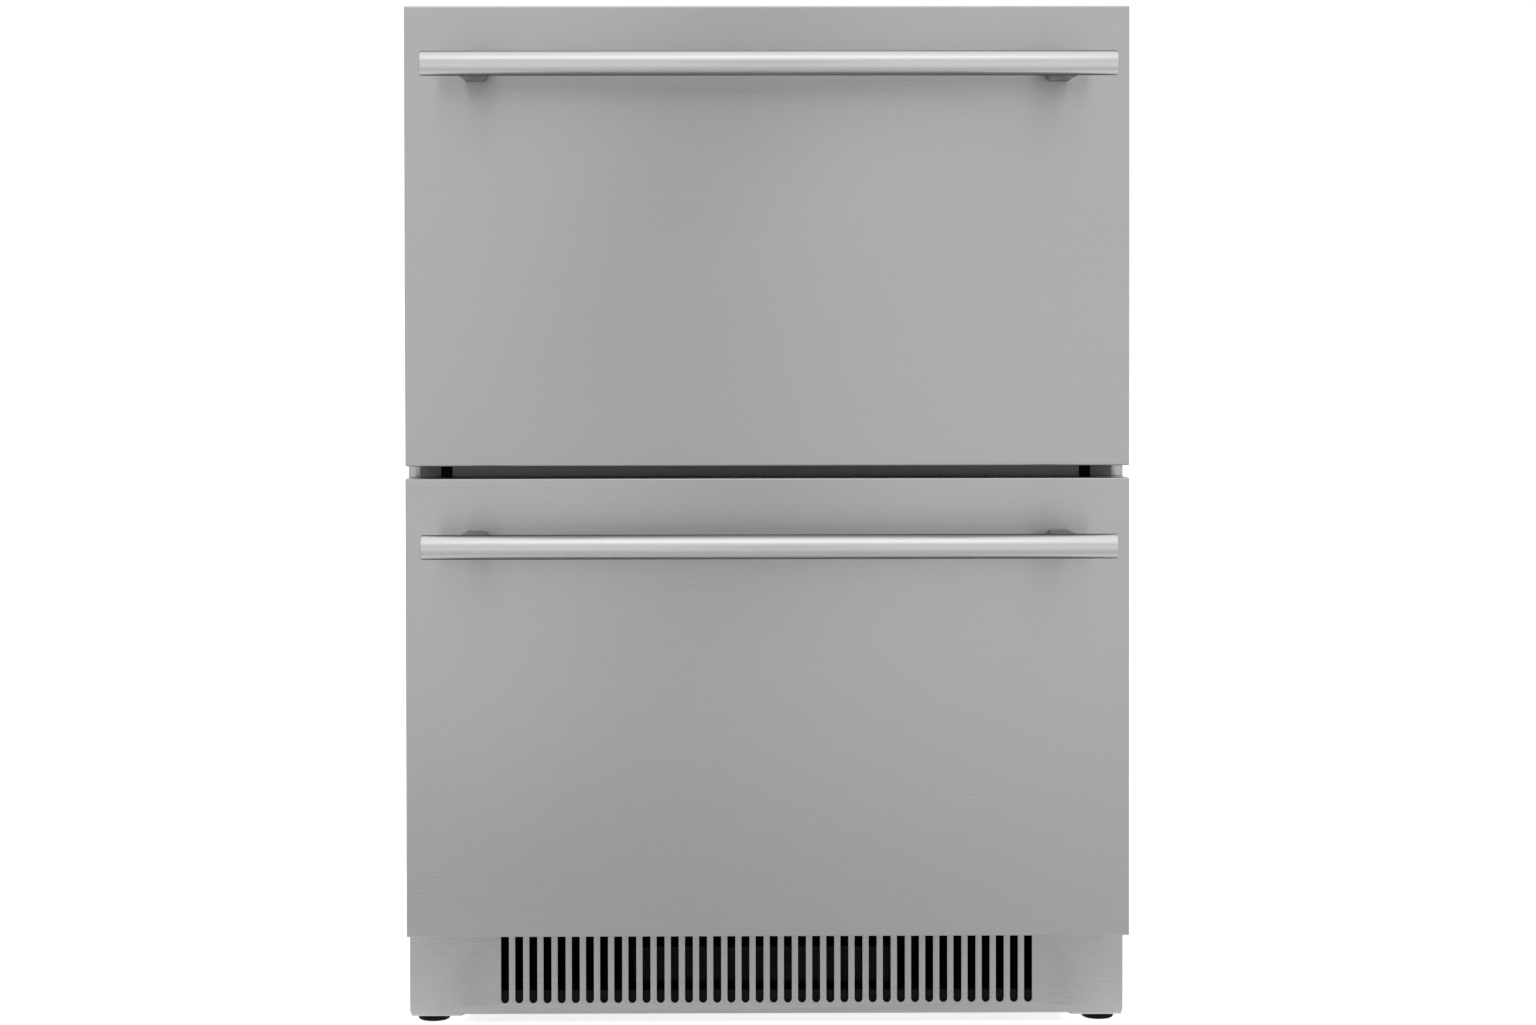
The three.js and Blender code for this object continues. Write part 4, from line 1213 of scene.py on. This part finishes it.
def button_mark(bm, node, low, high):
    """Raised minus, plus or power mark on a button's face."""
    centre = (low + high) / 2
    arm, half, proud = 0.0022, 0.0003, 0.0002

    def bar(half_x, half_z, z=0.0):
        corner = Vector((centre.x, low.y - proud, centre.z + z))
        moulded(corner - Vector((half_x, 0, half_z)),
                corner + Vector((half_x, proud * 2, half_z)), [(0, 0.0001), (0.0001, 0), (0.0004, 0)],
                corner=0.0002, bm=bm)

    if node != "button_power":
        bar(arm, half)
        if node == "button_up":
            for side in (1, -1):
                bar(half, (arm - half) / 2, side * (arm + half) / 2)
        return
    bar(half, arm * 0.5, arm * 0.6)
    arc = [math.radians(125 + 290 * i / 12) for i in range(13)]
    swept([(centre.x + arm * math.cos(a), low.y, centre.z + arm * math.sin(a)) for a in arc],
          half, 8, bm, 2)


# ---------------------------------------------------------------- studio

FLOOR_SIZE = 60.0
FLOOR_GLOW = 0.24
UNDER_GLOW = 0.85               # lifts the shade under the cabinet
FLOOR_NEAR = (-0.25, -0.5)      # the floor turns grey over this stretch, before the kick plate
FLOOR_FAR = (-0.6, -1.6)        # and paler again over this one
FLOOR_BAND = 0.6                # half-width of its greyest part


def edge_distance(g, coordinate, low, high):
    """How far a coordinate is outside the stretch from low to high."""
    centred = g.nodes.new("ShaderNodeMath")
    centred.operation = "SUBTRACT"
    centred.inputs[1].default_value = (low + high) / 2
    g.link(coordinate, centred.inputs[0])
    size = g.nodes.new("ShaderNodeMath")
    size.operation = "ABSOLUTE"
    g.link(centred.outputs[0], size.inputs[0])
    beyond = g.nodes.new("ShaderNodeMath")
    beyond.operation = "SUBTRACT"
    beyond.inputs[1].default_value = (high - low) / 2
    g.link(size.outputs[0], beyond.inputs[0])
    return beyond.outputs[0]


def add_floor():
    """Pale floor that glows a little, more under the cabinet, where the glow is painted light that lifts the
    shade, and greyer in front of the drawers.
    """
    g = Graph("floor")
    g.set(Roughness=0.9, Specular_IOR_Level=0.1, Emission_Strength=1.0)
    split = g.nodes.new("ShaderNodeSeparateXYZ")
    g.link(g.where, split.inputs[0])
    aside = g.nodes.new("ShaderNodeMath")
    aside.operation = "ABSOLUTE"
    g.link(split.outputs["X"], aside.inputs[0])
    speckle = g.mixed(g.spread(g.noise((2, 2, 2), 2), 0, 1), grey(0.86), grey(0.88))
    far = g.mixed(g.spread(aside.outputs[0], 0, 1, 0, FLOOR_BAND), grey(0.66, 0.02), grey(0.77))
    front = g.mixed(g.spread(split.outputs["Y"], 0, 1, *FLOOR_FAR), grey(0.52, 0.01), far)
    tone = g.mixed(g.spread(split.outputs["Y"], 0, 1, *FLOOR_NEAR), speckle, front)
    g.colour(tone)
    low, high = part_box("base_pan")
    outside = [edge_distance(g, split.outputs[axis], low[i], high[i])
               for i, axis in ((0, "X"), (1, "Y"))]
    farther = g.nodes.new("ShaderNodeMath")
    farther.operation = "MAXIMUM"
    for output, socket in zip(outside, farther.inputs):
        g.link(output, socket)
    glow = g.mixed(g.spread(farther.outputs[0], 0, 1, -0.02, 0.06), grey(UNDER_GLOW),
                   grey(FLOOR_GLOW * 0.87))
    dim = g.mixed(g.spread(split.outputs["Y"], 0, 1, *FLOOR_NEAR), glow,
                  grey(FLOOR_GLOW * 0.65))
    g.link(dim, g.surface.inputs["Emission Color"])
    mesh = bpy.data.meshes.new("floor")
    half = FLOOR_SIZE / 2
    mesh.from_pydata([(-half, -half, 0), (half, -half, 0), (half, half, 0), (-half, half, 0)],
                     [], [(0, 1, 2, 3)])
    mesh.materials.append(g.material)
    floor = bpy.data.objects.new("floor", mesh)
    bpy.context.scene.collection.objects.link(floor)


def add_world():
    """Studio that is brightest overhead, white all round and greyer in front of the drawers."""
    world = bpy.data.worlds.new("studio")
    bpy.context.scene.world = world
    world.use_nodes = True
    nodes, links = world.node_tree.nodes, world.node_tree.links
    background = nodes["Background"]
    split = nodes.new("ShaderNodeSeparateXYZ")
    links.new(nodes.new("ShaderNodeTexCoord").outputs["Generated"], split.inputs[0])

    def ramp(value, start, end, smooth=True):
        node = nodes.new("ShaderNodeMapRange")
        node.interpolation_type = "SMOOTHSTEP" if smooth else "LINEAR"
        node.inputs["From Min"].default_value = start
        node.inputs["From Max"].default_value = end
        links.new(value, node.inputs["Value"])
        return node.outputs["Result"]

    def mixed(factor, first, second):
        node = nodes.new("ShaderNodeMix")
        node.data_type = "RGBA"
        links.new(factor, node.inputs["Factor"])
        for socket, colour in zip([i for i in node.inputs if i.type == "RGBA"], (first, second)):
            if isinstance(colour, tuple):
                socket.default_value = (*colour, 1)
            else:
                links.new(colour, socket)
        return next(o for o in node.outputs if o.type == "RGBA")

    aside = nodes.new("ShaderNodeMath")
    aside.operation = "SUBTRACT"
    aside.inputs[1].default_value = BAND_CENTRE
    links.new(split.outputs["X"], aside.inputs[0])
    width = nodes.new("ShaderNodeMath")
    width.operation = "ABSOLUTE"
    links.new(aside.outputs[0], width.inputs[0])
    band = mixed(ramp(width.outputs[0], 0.0, BAND_HALF), FRONT_MIDDLE, FRONT_EDGE)
    front = mixed(ramp(split.outputs["Z"], *BAND_END), band, FRONT_EDGE)
    around = mixed(ramp(split.outputs["Y"], -0.3, -0.6), ALL_ROUND, front)
    sky = mixed(ramp(split.outputs["Z"], *SKY_START), around, OVERHEAD)
    links.new(sky, background.inputs["Color"])


FRONT_MIDDLE = (0.33, 0.32, 0.27)
FRONT_EDGE = (1.27, 1.275, 1.295)
ALL_ROUND = (1.08, 1.08, 1.08)
OVERHEAD = (1.75, 1.75, 1.75)
BAND_CENTRE = 0.03
BAND_HALF = 0.14
BAND_END = (0.0, 0.25)           # the grey band fades out upwards
SKY_START = (0.45, 0.62)


def add_light(name, place, target, size, power):
    data = bpy.data.lights.new(name, "AREA")
    data.shape = "RECTANGLE"
    data.size, data.size_y = size
    data.energy = power
    light = bpy.data.objects.new(name, data)
    bpy.context.scene.collection.objects.link(light)
    light.location = place
    light.rotation_mode = "QUATERNION"
    light.rotation_quaternion = (Vector(target) - Vector(place)).to_track_quat("-Z", "Y")


def add_studio():
    bpy.context.scene.view_settings.view_transform = "Standard"
    add_floor()
    add_world()
    add_light("key", (0, -2.2, 3.2), (0, -0.2, 0.5), (3.4, 1.3), 8)


add_camera()
add_studio()
add_cabinet()
add_kick_plate()
add_liner()
add_feet()
add_machine()
add_evaporator()
add_controls()
for name in LEVELS:
    add_front(name)
    add_bin(name)
    add_rails(name)
